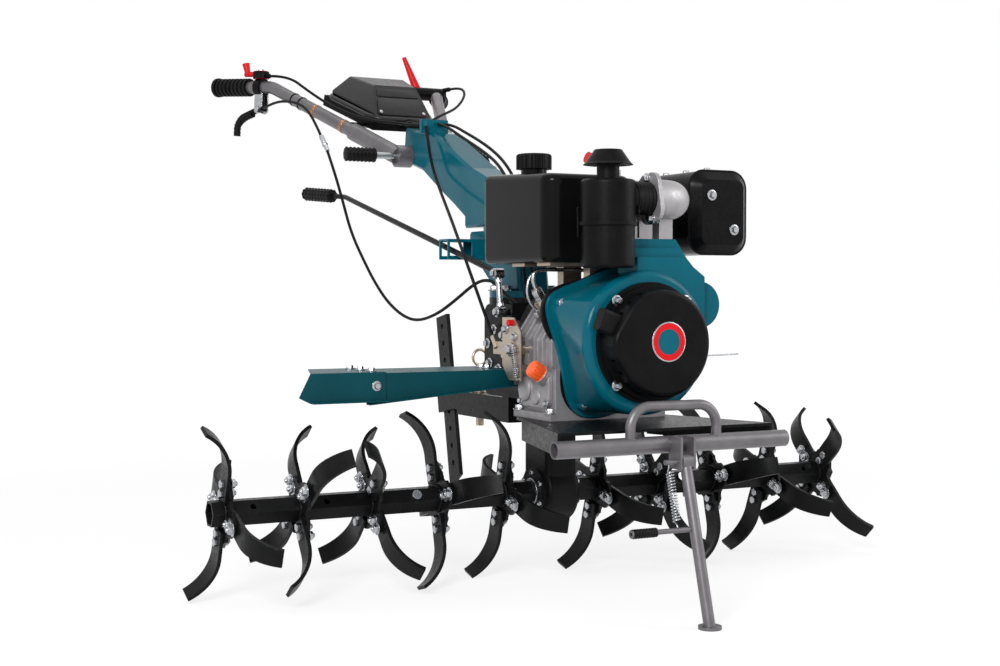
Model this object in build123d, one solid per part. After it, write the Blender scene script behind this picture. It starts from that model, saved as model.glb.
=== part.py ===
"""Walk-behind diesel power tiller: engine, gearbox, tine rotor, swivelling column and handlebars.

Millimetres, +Z up, front towards -Y, origin on the ground in the middle of the footprint.
Places are counted from the tine axle: x to the operator's left, y to the rear, z up.
"""
from build123d import *
import os
from math import cos, radians, sin, tan

# The tine axle lies this far behind the origin
AXLE_Y = -290.0

# Clearance between pieces that fit into each other, and the overlap of welded pieces
FIT = 0.3
WELD = 1.0

# Tine rotor
HUB_FIRST = 95.0
HUB_PITCH = 126.0
INNER_HUBS = 2
OUTER_HUBS = 3
REST_ANGLE = 15.0
PHASES_RIGHT = (REST_ANGLE, -REST_ANGLE, 46.0, 52.0, 22.0)
PHASES_LEFT = (REST_ANGLE, 48.0, -REST_ANGLE, 20.0, 46.0)
ALTERNATE = (-1, 1, -1, 1)
PAIRED = (1, -1, -1, 1)
BENDS_RIGHT = (ALTERNATE, ALTERNATE, ALTERNATE, PAIRED, ALTERNATE)
BENDS_LEFT = (ALTERNATE,) * 5
PLATE_SIZE = 92.0
PLATE_CORNER = 16.0
PLATE_THICK = 6.0
PLATE_NOTCH = 13.0
BLADE_THICK = 6.0
BLADE_ROOT = 27.0
BLADE_ROOT_HALF = 17.0
BLADE_BELLY_HALF = 19.0
BLADE_TIP_HALF = 15.0
BEND_START = 76.0
BEND_RADIUS = 80.0
BEND_ANGLE = 62.0
TUBE_FLATS = 40.0
TUBE_WALL = 3.5
TUBE_START = 46.0
TUBE_SPLIT = 300.0
TUBE_PAST_HUB = 26.0
SPIGOT_LENGTH = 60.0
SHAFT_LENGTH = 380.0
TINE_PIN = 10.0
TINE_PIN_PAST = 9.0
TINE_PIN_HEAD = 17.0
TINE_PIN_HEAD_THICK = 4.0
PIN_HOLE_FROM_HUB = 42.0

# Gearbox
FINAL_RADIUS = 54.0
FINAL_HALF_WIDTH = 31.0
FINAL_EDGE = 8.0
FINAL_FLANGE_RADIUS = 42.0
FINAL_FLANGE = 5.0
NECK_HALF_WIDTH = 31.0
NECK_DEPTH = 90.0
NECK_EDGE = 12.0
CASE_HALF_WIDTH = 54.0
CASE_FRONT = -48.0
CASE_REAR = 155.0
CASE_BOTTOM = 165.0
CASE_TOP = 333.0
CASE_EDGE = 20.0
CASE_COVER_RADIUS = 44.0
CASE_COVER_Y = 92.0
CASE_COVER_DROP = 82.0
CASE_COVER_THICK = 7.0
BELL_RADIUS = 92.0
SEAT_Y = 104.0
SEAT_RADIUS = 62.0
SEAT_HEIGHT = 12.0

# Engine plate, bumper and stand
PLATE_TOP = 143.0
PLATE_SHEET = 5.0
PLATE_REAR = -88.0
PLATE_REAR_HALF = 115.0
PLATE_FRONT_HALF = 200.0
PLATE_FLANGE = 36.0
FLANGE_REAR = -128.0
BUMPER_Y = -393.0
BUMPER_Z = 119.0
BUMPER_TUBE = 27.0
BUMPER_WALL = 2.5
BUMPER_OVERHANG = 14.0
BUMPER_HALF = PLATE_FRONT_HALF + BUMPER_OVERHANG
LOOP_TUBE = 16.0
LOOP_HALF = 80.0
LOOP_TOP = 187.0
LOOP_BEND = 34.0
STAND_PIVOT_Y = -424.0
STAND_PIVOT_Z = 95.0
STAND_RAKE = 15.2
STAND_TUBE = 18.0
STAND_FOOT = 36.0
STAND_FOOT_THICK = 5.0
STAND_PIN = 8.0
STAND_CHEEK_GAP = 20.0
STAND_CHEEK = 4.0
STAND_CHEEK_WIDTH = 33.0
STAND_EYE = 24.0
PEDAL_DROP = 104.0
PEDAL_REACH = 115.0
PEDAL_ROD = 8.0
PEDAL_SLEEVE = 13.0
PEDAL_SLEEVE_LENGTH = 45.0
SPRING_DIAMETER = 13.0
SPRING_OFFSET = 17.0

# Engine block and head
CRANK_Z = 274.0
BLOCK_HALF = 112.0
BLOCK_FRONT = -200.0
BLOCK_REAR = -72.0
BLOCK_BASE = 12.0
BLOCK_SIDE = 102.0
BLOCK_SHOULDER = 275.0
BLOCK_TOP_X = -58.0
BLOCK_TOP = 341.0
BLOCK_DECK = 353.0
BLOCK_EDGE = 10.0
RIB_COUNT = 5
RIB_THICK = 5.0
RIB_STAND = 7.0
RIB_DROP = 42.0
BARREL_LOW_X = 30.0
BARREL_HIGH_X = 112.0
BARREL_FRONT = -192.0
BARREL_REAR = -82.0
FIN_COUNT = 6
FIN_PITCH = 14.0
FIN_THICK = 5.0
FIN_DEPTH = 9.0
HEAD_HEIGHT = 72.0
HEAD_EDGE = 12.0
ROCKER_HEIGHT = 26.0
ROCKER_INSET = 10.0
DECOMP_ARM = 9.0
DECOMP_RISE = 28.0
DECOMP_REACH = 60.0
DECOMP_KNOB = 20.0
DECOMP_ANGLE = 20.0

# Blower shroud and recoil starter: radii about the crank every 30 degrees from +X, seen from the front
SHROUD_REAR_RADII = (132.0, 140.0, 128.0, 120.0, 116.0, 138.0, 106.0, 106.0, 136.0, 123.0, 123.0, 128.0)
SHROUD_FRONT_RADIUS = 117.0
SHROUD_FRONT = -318.0
SHROUD_FLANGE = 8.0
SHROUD_RIM = 9.0
SHROUD_EDGE = 12.0
CHIMNEY_LOW_X = -12.0
CHIMNEY_HIGH_X = 118.0
CHIMNEY_TOP_X = 74.0
CHIMNEY_TOP = 441.0
CHIMNEY_SHOULDER = 380.0
CHIMNEY_BACK = -247.0
CHIMNEY_RIDGE = 5.0
LOBE_X = 118.0
LOBE_Z = 334.0
LOBE_RADIUS = 38.0
STARTER_RADIUS = 97.0
STARTER_FLANGE = 10.0
STARTER_STEP_RADIUS = 92.0
STARTER_STEP = 18.0
STARTER_CAP_RADIUS = 85.0
STARTER_FRONT = -372.0
STARTER_EDGE = 9.0
ROPE_OUTLET_RADIUS = 40.0
ROPE_OUTLET_OFFSET = 54.0
STARTER_SLOTS = 22
STARTER_SLOT_WIDTH = 7.0
STARTER_SLOT_DEPTH = 4.0
STARTER_SLOT_LENGTH = 13.0
GRIP_WIDTH = 36.0
GRIP_THICK = 22.0
GRIP_LENGTH = 38.0
GRIP_ANGLE = 20.0
GRIP_EDGE = 7.0

# Tank, air cleaner, intake and muffler
TANK_LOW_X = -140.0
TANK_HIGH_X = 24.0
TANK_FRONT = -241.0
TANK_REAR = 2.0
TANK_BOTTOM = 403.0
TANK_TOP = 558.0
TANK_DIP = 12.0
TANK_CORNER = 26.0
TANK_EDGE = 13.0
STRAP_THICK = 5.0
STRAP_WIDTH = 44.0
POST_WIDTH = 36.0
POST_DEPTH = 20.0
CAP_X = -85.0
CAP_Y = -94.0
CAP_RADIUS = 30.5
CAP_HEIGHT = 26.0
CAP_EDGE = 5.0
CAP_SCALLOPS = 12
CAP_SCALLOP_RADIUS = 5.0
CAP_NECK_RADIUS = 22.0
CAP_NECK = 5.0
CLEANER_X = -65.0
CLEANER_Y = -302.0
CLEANER_RADIUS = 44.0
CLEANER_CUP_RADIUS = 42.5
CLEANER_BOTTOM = 393.0
CLEANER_TOP = 533.0
CLEANER_BAND = 6.0
CLEANER_BAND_Z = 463.0
CLEANER_BAND_STAND = 3.0
CLEANER_EDGE = 6.0
RAIN_NECK_RADIUS = 18.0
RAIN_NECK = 23.0
RAIN_BRIM_RADIUS = 40.0
RAIN_BRIM = 4.0
RAIN_CROWN_RADIUS = 22.0
RAIN_CROWN = 20.0
DUCT_TUBE = 62.0
DUCT_Z = 505.0
DUCT_CORNER_X = 74.0
DUCT_BEND = 46.0
DUCT_FLANGE_X = 12.0
DUCT_FLANGE_THICK = 7.0
DUCT_FLANGE_HALF = 40.0
DUCT_FLANGE_TURN = -12.0
HOSE_TUBE = 50.0
DUCT_FOOT_X = 57.0
DUCT_FOOT_Y = -273.0
DUCT_FOOT_WIDTH = 26.0
DUCT_FOOT_DEPTH = 20.0
MUFFLER_LOW_X = 168.0
MUFFLER_HIGH_X = 287.0
MUFFLER_FRONT = -204.0
MUFFLER_REAR = 0.0
MUFFLER_BOTTOM = 421.0
MUFFLER_TOP = 565.0
MUFFLER_CORNER = 30.0
MUFFLER_BEVEL = 16.0
MUFFLER_PORT_Z = 472.0
MUFFLER_INLET = 46.0
MUFFLER_TAIL = 34.0
MUFFLER_TAIL_LENGTH = 18.0
MUFFLER_TAIL_Y = -120.0

# Left side of the engine
GOVERNOR_X = -126.0
GOVERNOR_SHEET = 3.0
GOVERNOR_FRONT = -128.0
GOVERNOR_REAR = -62.0
GOVERNOR_BOTTOM = 206.0
GOVERNOR_TOP = 312.0
GOVERNOR_CUT = 24.0
GOVERNOR_BOSS = 24.0
GOVERNOR_BOSS_Y = -97.0
GOVERNOR_BOSS_Z = 258.0
PUMP_Y = -150.0
PUMP_TUBE = 26.0
PUMP_FITTING = 15.0
PUMP_RISE = 62.0
PUMP_LEAN = 32.0
FILLER_Y = -172.0
FILLER_Z = 212.0
FILLER_BOSS = 30.0
FILLER_BOSS_LENGTH = 16.0
FILLER_CAP = 26.0
FILLER_CAP_LENGTH = 20.0

# Fender
FENDER_TOP = 221.0
FENDER_SHEET = 2.0
FENDER_FRONT = -46.0
FENDER_REAR = 92.0
FENDER_INNER = 98.0
FENDER_OUTER = 372.0
FENDER_INNER_WALL = 28.0
FENDER_OUTER_WALL = 52.0
FENDER_LIP = 14.0
EXTENSION_OUTER = 470.0
EXTENSION_REAR_OUTER = 424.0
EXTENSION_POINT = 20.0
EXTENSION_POINT_SHARE = 0.8
EXTENSION_OVERLAP = 34.0
STAY_THICK = 6.0
STAY_WIDTH = 40.0
STAY_FOOT = 40.0
STAY_Y = 30.0

# Drag stake and hitch
STAKE_LEAN = 10.9
STAKE_WIDTH = 50.0
STAKE_THICK = 8.0
STAKE_LENGTH = 350.0
STAKE_FOOT_Y = 386.0
STAKE_FOOT_Z = -38.0
STAKE_FOOT_CUT = 22.0
STAKE_HOLE = 11.0
STAKE_HOLE_FROM_FOOT = 48.0
STAKE_HOLE_FROM_TOP = 22.0
STAKE_HOLES = 9
HITCH_Z = 136.0
HITCH_HEIGHT = 46.0
HITCH_HALF = 27.0
HITCH_FRONT = 110.0
HITCH_REAR = 330.0
HITCH_WALL = 8.0
HITCH_PIN_Y = 282.0
HITCH_PIN = 16.0
HITCH_PIN_BELOW = 42.0
HITCH_PIN_ABOVE = 76.0
HITCH_RING = 30.0
HITCH_RING_WIRE = 6.0
HOLDER_WALL = 8.0

# Column on its swivel, and handlebars
BASE_FLANGE = 12.0
SWIVEL_Y = 200.0
SWIVEL_Z = 471.0
SWIVEL_GAP = 8.0
SWIVEL_PLAY = 0.5
SWIVEL_COLLAR_RADIUS = 30.0
SWIVEL_PIN_RADIUS = 22.0
SWIVEL_PIN_HEIGHT = 24.0
COLUMN_HALF = 32.0
BASE_FRONT = 46.0
BASE_WAIST = 34.0
BASE_WAIST_RISE = 70.0
BASE_REAR = 53.0
BASE_TOP_FRONT = 98.0
BASE_TOP_REAR = 65.0
BASE_LIP = 18.0
BASE_HEEL = 39.0
BASE_HEEL_DROP = 55.0
ARM_FRONT_YS = (-93.0, -72.0, -13.0, 60.0)
ARM_FRONT_ZS = (0.0, 28.5, 89.5, 115.0)
ARM_HEAD_YS = (-110.0, 26.0, 32.0, 5.0, -55.0, -148.0, -209.0)
ARM_HEAD_ZS = (39.0, 63.0, 24.0, -16.0, -32.0, -82.0, -112.0)
ARM_REAR = 87.0
ARM_REAR_RISE = 20.0
COLUMN_EDGE = 5.0
COLUMN_WALL = 5.0
TILT_Y = 545.0
TILT_Z = 638.0
TILT_BOLT = 14.0
TILT_DISC = 46.0
TILT_DISC_THICK = 14.0
TILT_GRIP_START = 112.0
TILT_GRIP_END = 176.0
TILT_GRIP = 25.0
GUIDE_Y = 210.0
GUIDE_LOW = 416.0
GUIDE_HIGH = 454.0
GUIDE_REACH = 112.0
GUIDE_WIDTH = 40.0
GUIDE_SHEET = 4.0
GUIDE_SLOT = 13.0
GUIDE_SLOT_INNER = -62.0
GEAR_X = -100.0
GEAR_ROOT_Y = 10.0
GEAR_ROOT_Z = 388.0
GEAR_LINK = 9.0
GEAR_JOINT = 17.0
GEAR_SHAFT = 13.0
GEAR_SHAFT_Y = 0.0
GEAR_SHAFT_Z = 320.0
GEAR_ROD = 11.0
GEAR_BEND_Y = 744.0
GEAR_BEND_Z = 563.0
GEAR_END_X = -135.0
GEAR_END_Y = 892.0
GEAR_END_Z = 577.0
GEAR_BEND = 60.0
GEAR_GRIP = 26.0
GEAR_GRIP_LENGTH = 104.0
SWING_X = 47.0
SWING_Y = 320.0
SWING_Z = 597.0
SWING_END_Y = 478.0
SWING_END_Z = 666.0
SWING_ROD = 11.0
SWING_GRIP = 26.0
SWING_GRIP_LENGTH = 130.0
SWING_BOSS = 18.0
ARM_TUBE = 28.0
ARM_WALL = 2.5
ARM_BEND_X = 205.0
ARM_BEND_Y = 925.0
ARM_BEND_Z = 818.0
ARM_END_X = 283.0
ARM_END_Y = 1075.0
ARM_END_Z = 830.0
ARM_BEND = 70.0
SLEEVE_TUBE = 38.0
SLEEVE_LENGTH = 150.0
HANDGRIP_LENGTH = 104.0
HANDGRIP_TUBE = 36.0
HANDGRIP_RING = 41.0
HANDGRIP_RING_WIDTH = 5.0
HANDGRIP_RINGS = 9
HANDGRIP_END = 4.0

# Console and hand controls
CONSOLE_FRONT_HALF = 70.0
CONSOLE_REAR_HALF = 112.0
CONSOLE_FRONT_Y = 650.0
CONSOLE_FRONT_Z = 725.0
CONSOLE_REAR_Y = 838.0
CONSOLE_REAR_Z = 797.0
CONSOLE_TOP_FRONT_HALF = 50.0
CONSOLE_TOP_REAR_HALF = 66.0
CONSOLE_TOP_FRONT_Y = 700.0
CONSOLE_TOP_FRONT_Z = 806.0
CONSOLE_TOP_REAR_Y = 806.0
CONSOLE_TOP_REAR_Z = 838.0
CONSOLE_EDGE = 9.0
CONSOLE_WALL = 3.0
TRAY_DEPTH = 24.0
TRAY_TAB_HALF = 120.0
TRAY_TAB_Y = 702.0
TRAY_TAB_WIDTH = 26.0
TRAY_TAB_THICK = 8.0
PERCH_FROM_BEND = 34.0
PERCH_WIDTH = 18.0
PERCH_WALL = 6.0
PERCH_DROP = 40.0
PERCH_CHEEK = 16.0
CLUTCH_LEVER = 14.0
CLUTCH_BEND = 34.0
CLUTCH_REACH = 78.0
CLUTCH_LENGTH = 36.0
THUMB_BASE = 34.0
THUMB_HEIGHT = 17.0
THUMB_ARM = 12.0
THUMB_REACH = 42.0
THUMB_RISE = 24.0
THUMB_TIP = 17.0
REVERSE_FROM_BEND = 46.0
REVERSE_BOSS = 30.0
REVERSE_ROOT = 22.0
REVERSE_TIP = 10.0
REVERSE_INWARD = 70.0
REVERSE_OUTWARD = 17.0
REVERSE_LIFT = 10.0
REVERSE_FOOT_X = 50.0
REVERSE_TIP_X = 80.0
REVERSE_TIP_Y = 18.0
REVERSE_TIP_Z = 97.0

# Control cables
CABLE = 6.0
FERRULE = 9.0
CABLE_SHARE = 0.45
CLIP_FRONT = 456.0
CLIP_REAR = 466.0
CLIP_LOW_X = -46.0
CLIP_HIGH_X = 14.0
CLIP_Z = 698.0
CLIP_HEIGHT = 9.0
CLIP_STUB = 8.0
STUB_DEPTH = 13.0
ADJUSTER = 50.0
LUG_FRONT = -24.0
LUG_REAR = -18.0
LUG_LOW_X = -90.0
LUG_LOW_Z = 305.0
LUG_HIGH_Z = 336.0
CLUTCH_SEAT = 20.0
CASE_GLAND = 33.0
TRAY_GLAND = 14.0
TRAY_SIDE_GLAND = 17.0
LEVER_GLAND = 24.0
GOVERNOR_ARM_REAR = -28.0
GOVERNOR_ARM_LOW = 248.0
GOVERNOR_ARM_HIGH = 270.0

MIN_Z = (Align.CENTER, Align.CENTER, Align.MIN)
TIP_RADIUS = BEND_START + (BEND_RADIUS + BLADE_THICK) * sin(radians(BEND_ANGLE))
AXLE_Z = TIP_RADIUS * cos(radians(REST_ANGLE)) + BLADE_TIP_HALF * sin(radians(REST_ANGLE))
TUBE_BORE = TUBE_FLATS - 2 * TUBE_WALL
SHAFT_FLATS = TUBE_BORE - 2 * FIT
HEX_CORNER = 1 / cos(radians(30))
PLATE_FRONT = BUMPER_Y + BUMPER_TUBE / 2 + FIT
BASE_FOOT = CASE_TOP + SEAT_HEIGHT
ARM_FOOT = SWIVEL_Z + SWIVEL_GAP

ACROSS = Vector(1, 0, 0)
DOWN = Vector(0, 0, -1)

nodes = {}


def at(x, y, z):
    """A point given from the tine axle, in the part's frame."""
    return Vector(x, AXLE_Y + y, AXLE_Z + z)


def box(low_x, high_x, low_y, high_y, low_z, high_z):
    """A block between six planes counted from the tine axle."""
    size = (high_x - low_x, high_y - low_y, high_z - low_z)
    middle = at((low_x + high_x) / 2, (low_y + high_y) / 2, (low_z + high_z) / 2)
    return Location(middle) * Box(*size)


def post(x, y, low_z, high_z, radius):
    """An upright round post between two heights."""
    return Location(at(x, y, low_z)) * Cylinder(radius, high_z - low_z, align=MIN_Z)


def rod(start, end, diameter):
    """A round bar between two points."""
    run = end - start
    return Plane(origin=start, z_dir=run) * Cylinder(diameter / 2, run.length, align=MIN_Z)


def taper(start, end, start_diameter, end_diameter):
    """A round bar whose diameter changes evenly from end to end."""
    run = end - start
    shape = Cone(start_diameter / 2, end_diameter / 2, run.length, align=MIN_Z)
    return Plane(origin=start, z_dir=run) * shape


def pipe(points, radii, outer, wall=0.0):
    """A round tube along straight runs joined by tangent arcs."""
    path = FilletPolyline(*points, radius=radii)
    section = Circle(outer / 2)
    if wall:
        section -= Circle(outer / 2 - wall)
    return sweep(Plane(origin=path @ 0, z_dir=path % 0) * section, path=path)


def turned(x, y, profile):
    """A turned piece about an upright axis, from radius and height pairs."""
    outline = make_face(Polyline(*[(radius, z) for radius, z in profile], close=True))
    spun = revolve(Plane.XZ * outline, Axis.Z)
    return Location(at(x, y, 0)) * spun


def hexagon_bar(start_x, end_x, flats):
    """A hexagonal bar along X, on the tine axle."""
    section = RegularPolygon(flats / 2 * HEX_CORNER, 6)
    plane = Plane(origin=at(start_x, 0, 0), x_dir=(0, 1, 0), z_dir=(1, 0, 0))
    return extrude(plane * section, end_x - start_x)


def side_profile(points, low_x, high_x):
    """A prism along X from an outline in Y and Z."""
    outline = make_face(Polyline(*[at(low_x, y, z) for y, z in points], close=True))
    return extrude(outline, high_x - low_x, dir=(1, 0, 0))


def front_profile(points, low_y, high_y):
    """A prism along Y from an outline in X and Z."""
    outline = make_face(Polyline(*[at(x, low_y, z) for x, z in points], close=True))
    return extrude(outline, high_y - low_y, dir=(0, 1, 0))


def plan_profile(points, low_z, high_z):
    """An upright prism from an outline in X and Y."""
    outline = make_face(Polyline(*[at(x, y, low_z) for x, y in points], close=True))
    return extrude(outline, high_z - low_z, dir=(0, 0, 1))


# Tine rotor: tube sections with welded plates, pinned to each other, and bolted blades
pin_way = Vector(0, -cos(radians(30)), sin(radians(30)))


def hub_plate(hub_x, phase):
    """A notched square plate across the axle, its corners under the blades."""
    plane = Plane(origin=at(hub_x, 0, 0), x_dir=(0, 1, 0), z_dir=(1, 0, 0))
    outline = RectangleRounded(PLATE_SIZE, PLATE_SIZE, PLATE_CORNER)
    for side in range(4):
        outline -= Rot(0, 0, 90 * side) * Pos(PLATE_SIZE / 2 + PLATE_NOTCH / 2, 0) * Circle(PLATE_NOTCH)
    return extrude(plane * Rot(0, 0, 45 + phase) * outline, PLATE_THICK / 2, both=True)


def blade_blank(bend):
    """A flat tine on one face of its plate, its outer end bent along the axle, pointing up."""
    face = PLATE_THICK / 2
    turn = radians(BEND_ANGLE)
    outer = BEND_RADIUS + BLADE_THICK
    centre_x = face + outer

    def on_arc(radius, share):
        """A point of the bend in the axial and radial directions."""
        return (centre_x - radius * cos(turn * share), BEND_START + radius * sin(turn * share))

    edges = [
        Line((face, BLADE_ROOT), (face, BEND_START)),
        ThreePointArc((face, BEND_START), on_arc(outer, 0.5), on_arc(outer, 1.0)),
        Line(on_arc(outer, 1.0), on_arc(BEND_RADIUS, 1.0)),
        ThreePointArc(on_arc(BEND_RADIUS, 1.0), on_arc(BEND_RADIUS, 0.5), (face + BLADE_THICK, BEND_START)),
        Line((face + BLADE_THICK, BEND_START), (face + BLADE_THICK, BLADE_ROOT)),
        Line((face + BLADE_THICK, BLADE_ROOT), (face, BLADE_ROOT)),
    ]
    strip = extrude(Plane.XZ * make_face(edges), BLADE_BELLY_HALF, both=True)
    belly = (BLADE_ROOT + TIP_RADIUS) / 2
    leaf = make_face(
        [
            Line((-BLADE_ROOT_HALF, BLADE_ROOT), (BLADE_ROOT_HALF, BLADE_ROOT)),
            ThreePointArc((BLADE_ROOT_HALF, BLADE_ROOT), (BLADE_BELLY_HALF, belly), (BLADE_TIP_HALF, TIP_RADIUS)),
            Line((BLADE_TIP_HALF, TIP_RADIUS), (-BLADE_TIP_HALF, TIP_RADIUS)),
            ThreePointArc((-BLADE_TIP_HALF, TIP_RADIUS), (-BLADE_BELLY_HALF, belly), (-BLADE_ROOT_HALF, BLADE_ROOT)),
        ]
    )
    strip &= extrude(Plane.YZ * leaf, centre_x)
    return strip if bend > 0 else mirror(strip, about=Plane.YZ)


def cross_hole(tube_x, diameter):
    """A pin's way through the tube, square to two of its flats."""
    middle = at(tube_x, 0, 0)
    return rod(middle - pin_way * TUBE_FLATS, middle + pin_way * TUBE_FLATS, diameter)


blanks = {bend: blade_blank(bend) for bend in (-1, 1)}


def tine_section(side, hubs, phases, bends, start_x, end_x, spigot):
    """A hexagonal tube with its welded plates, and the blades bolted to them."""
    tube = hexagon_bar(side * start_x, side * end_x, TUBE_FLATS)
    blades = []
    for hub_x, phase, hub_bends in zip(hubs, phases, bends):
        tube += hub_plate(side * hub_x, phase)
        place = Location(at(side * hub_x, 0, 0))
        for quarter, bend in enumerate(hub_bends):
            blades.append(place * Rot(phase + 90 * quarter, 0, 0) * blanks[bend])
    tube -= hexagon_bar(side * start_x, side * end_x, TUBE_BORE)
    pin_x = side * (TUBE_SPLIT - SPIGOT_LENGTH / 2)
    if spigot:
        core = hexagon_bar(side * (start_x - SPIGOT_LENGTH), side * (start_x + SPIGOT_LENGTH), SHAFT_FLATS)
        tube += core + hexagon_bar(side * start_x, side * (start_x + SPIGOT_LENGTH), TUBE_BORE)
        for hub_x in hubs[1:]:
            tube -= cross_hole(side * (hub_x - PIN_HOLE_FROM_HUB), TINE_PIN)
    return tube - cross_hole(pin_x, TINE_PIN + 2 * FIT), Compound(blades)


def tine_pin(side):
    """The pin that holds an outer section on its inner one."""
    middle = at(side * (TUBE_SPLIT - SPIGOT_LENGTH / 2), 0, 0)
    half = TUBE_FLATS / 2
    head = middle + pin_way * (half + FIT)
    bar = rod(middle - pin_way * (half + TINE_PIN_PAST), head + pin_way * WELD, TINE_PIN)
    return bar + rod(head, head + pin_way * TINE_PIN_HEAD_THICK, TINE_PIN_HEAD)


hub_places = [HUB_FIRST + HUB_PITCH * n for n in range(INNER_HUBS + OUTER_HUBS)]
tube_end = hub_places[-1] + TUBE_PAST_HUB
inner_hubs, outer_hubs = hub_places[:INNER_HUBS], hub_places[INNER_HUBS:]
for name, side, phases, bends in (
    ("right", -1, PHASES_RIGHT, BENDS_RIGHT),
    ("left", 1, PHASES_LEFT, BENDS_LEFT),
):
    inner = tine_section(side, inner_hubs, phases[:INNER_HUBS], bends[:INNER_HUBS], TUBE_START, TUBE_SPLIT, False)
    outer = tine_section(side, outer_hubs, phases[INNER_HUBS:], bends[INNER_HUBS:], TUBE_SPLIT, tube_end, True)
    nodes[f"tine_tube_{name}_inner"], nodes[f"tine_blades_{name}_inner"] = inner
    nodes[f"tine_tube_{name}_outer"], nodes[f"tine_blades_{name}_outer"] = outer
nodes["tine_pins"] = Compound([tine_pin(-1), tine_pin(1)])
nodes["output_shaft"] = hexagon_bar(-SHAFT_LENGTH / 2, SHAFT_LENGTH / 2, SHAFT_FLATS)

# Control cables: their middle lines, the ferrules that they end in, and the tubes


def ferrule(route, depth):
    """The end fitting that a cable leaves, running back along the cable's first stretch."""
    way = (route[1] - route[0]).normalized()
    return rod(route[0] - way * depth, route[0], FERRULE)


def cable(name, route):
    """A cable along its middle line, every corner as round as the shorter stretch beside it lets it be."""
    radii = []
    for before, corner, after in zip(route, route[1:], route[2:]):
        first, second = corner - before, after - corner
        half_turn = radians(first.get_angle(second) / 2)
        radii.append(CABLE_SHARE * min(first.length, second.length) / tan(half_turn))
    tube = pipe(route, radii, CABLE)
    print(name, "radii", [round(radius) for radius in radii])
    return tube


clutch_upper = [at(-226, 930, 769), at(-221, 867, 777), at(-205, 806, 774), at(-191, 752, 758), at(-186, 706, 724)]
clutch_upper += [at(-184, 668, 686)]
clutch_lower = [at(-182, 634, 650), at(-179, 603, 606), at(-175, 568, 546), at(-170, 532, 476), at(-164, 477, 417)]
clutch_lower += [at(-158, 434, 373), at(-151, 385, 334), at(-143, 327, 307), at(-134, 276, 299), at(-123, 212, 314)]
clutch_lower += [at(-112, 158, 340), at(-102, 106, 368), at(-96, 74, 377), at(-91, 42, 373), at(-86, 18, 356)]
clutch_lower += [at(-82, -6, 341)]
throttle_upper = [at(-209, 932, 844), at(-182, 881, 840), at(-158, 812, 798), at(-134, 744, 761), at(-108, 676, 734)]
throttle_upper += [at(-82, 612, 717), at(-59, 553, 708), at(-43, 506, 699), at(-38, CLIP_REAR + CLIP_STUB, CLIP_Z)]
throttle_lower = [at(-40, CLIP_FRONT - CLIP_STUB, CLIP_Z - CLIP_STUB), at(-44, 430, 664), at(-47, 412, 626), at(-48, 383, 580)]
throttle_lower += [at(-96, 208, 489), at(-122, 112, 434), at(-128, 33, 350), at(-128, -24, 278)]
engine_upper = [at(-12, 641, 718), at(-12, 598, 722), at(-12, 549, 713), at(-12, 506, 699), at(-12, CLIP_REAR + CLIP_STUB, CLIP_Z)]
engine_lower = [at(-12, CLIP_FRONT - CLIP_STUB, CLIP_Z), at(-12, 410, 690), at(-11, 360, 669), at(-10, 300, 646), at(-9, 240, 622)]
engine_lower += [at(-10, 184, 596), at(-13, 136, 560), at(-18, 98, 515), at(-24, 70, 460), at(-29, 48, 402)]
engine_lower += [at(-33, 30, 358)]
lamp_upper = [at(4, 641, 718), at(4, 598, 722), at(4, 549, 713), at(4, 506, 699), at(4, CLIP_REAR + CLIP_STUB, CLIP_Z)]
lamp_lower = [at(4, CLIP_FRONT - CLIP_STUB, CLIP_Z), at(4, 410, 692), at(5, 360, 674), at(5, 300, 653), at(5, 240, 629)]
lamp_lower += [at(3, 184, 601), at(0, 136, 565), at(-4, 98, 520), at(-9, 70, 464), at(-13, 48, 406), at(-17, 30, 360)]
reverse_cable = [at(246, 942, 843), at(254, 898, 843), at(248, 856, 826), at(224, 820, 802), at(190, 784, 778)]
reverse_cable += [at(152, 748, 762), at(116, 722, 748), at(94, 709, 737)]

upper_routes = (clutch_upper, throttle_upper, engine_upper, lamp_upper, reverse_cable)
nodes["control_cables_upper"] = Compound([cable("upper", route) for route in upper_routes])
lower_clutch = cable("lower", clutch_lower) + ferrule(clutch_upper[::-1], ADJUSTER)
lower_routes = (throttle_lower, engine_lower, lamp_lower)
nodes["control_cables_lower"] = Compound([lower_clutch] + [cable("lower", route) for route in lower_routes])

# Gearbox: final drive below, gear case above, with the column's seat on top


def final_drive():
    """The round housing about the output shaft, with the neck up to the gear case."""
    across = Plane(origin=at(0, 0, 0), x_dir=(0, 1, 0), z_dir=(1, 0, 0))
    body = across * fillet(Cylinder(FINAL_RADIUS, 2 * FINAL_HALF_WIDTH).edges(), FINAL_EDGE)
    body += across * Cylinder(FINAL_FLANGE_RADIUS, 2 * (FINAL_HALF_WIDTH + FINAL_FLANGE))
    neck = box(-NECK_HALF_WIDTH, NECK_HALF_WIDTH, -NECK_DEPTH / 2, NECK_DEPTH / 2, 0, CASE_BOTTOM)
    body += fillet(neck.edges().filter_by(Axis.Z), NECK_EDGE)
    bore = SHAFT_FLATS / 2 * HEX_CORNER + FIT
    return body - across * Cylinder(bore, 4 * FINAL_HALF_WIDTH)


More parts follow.
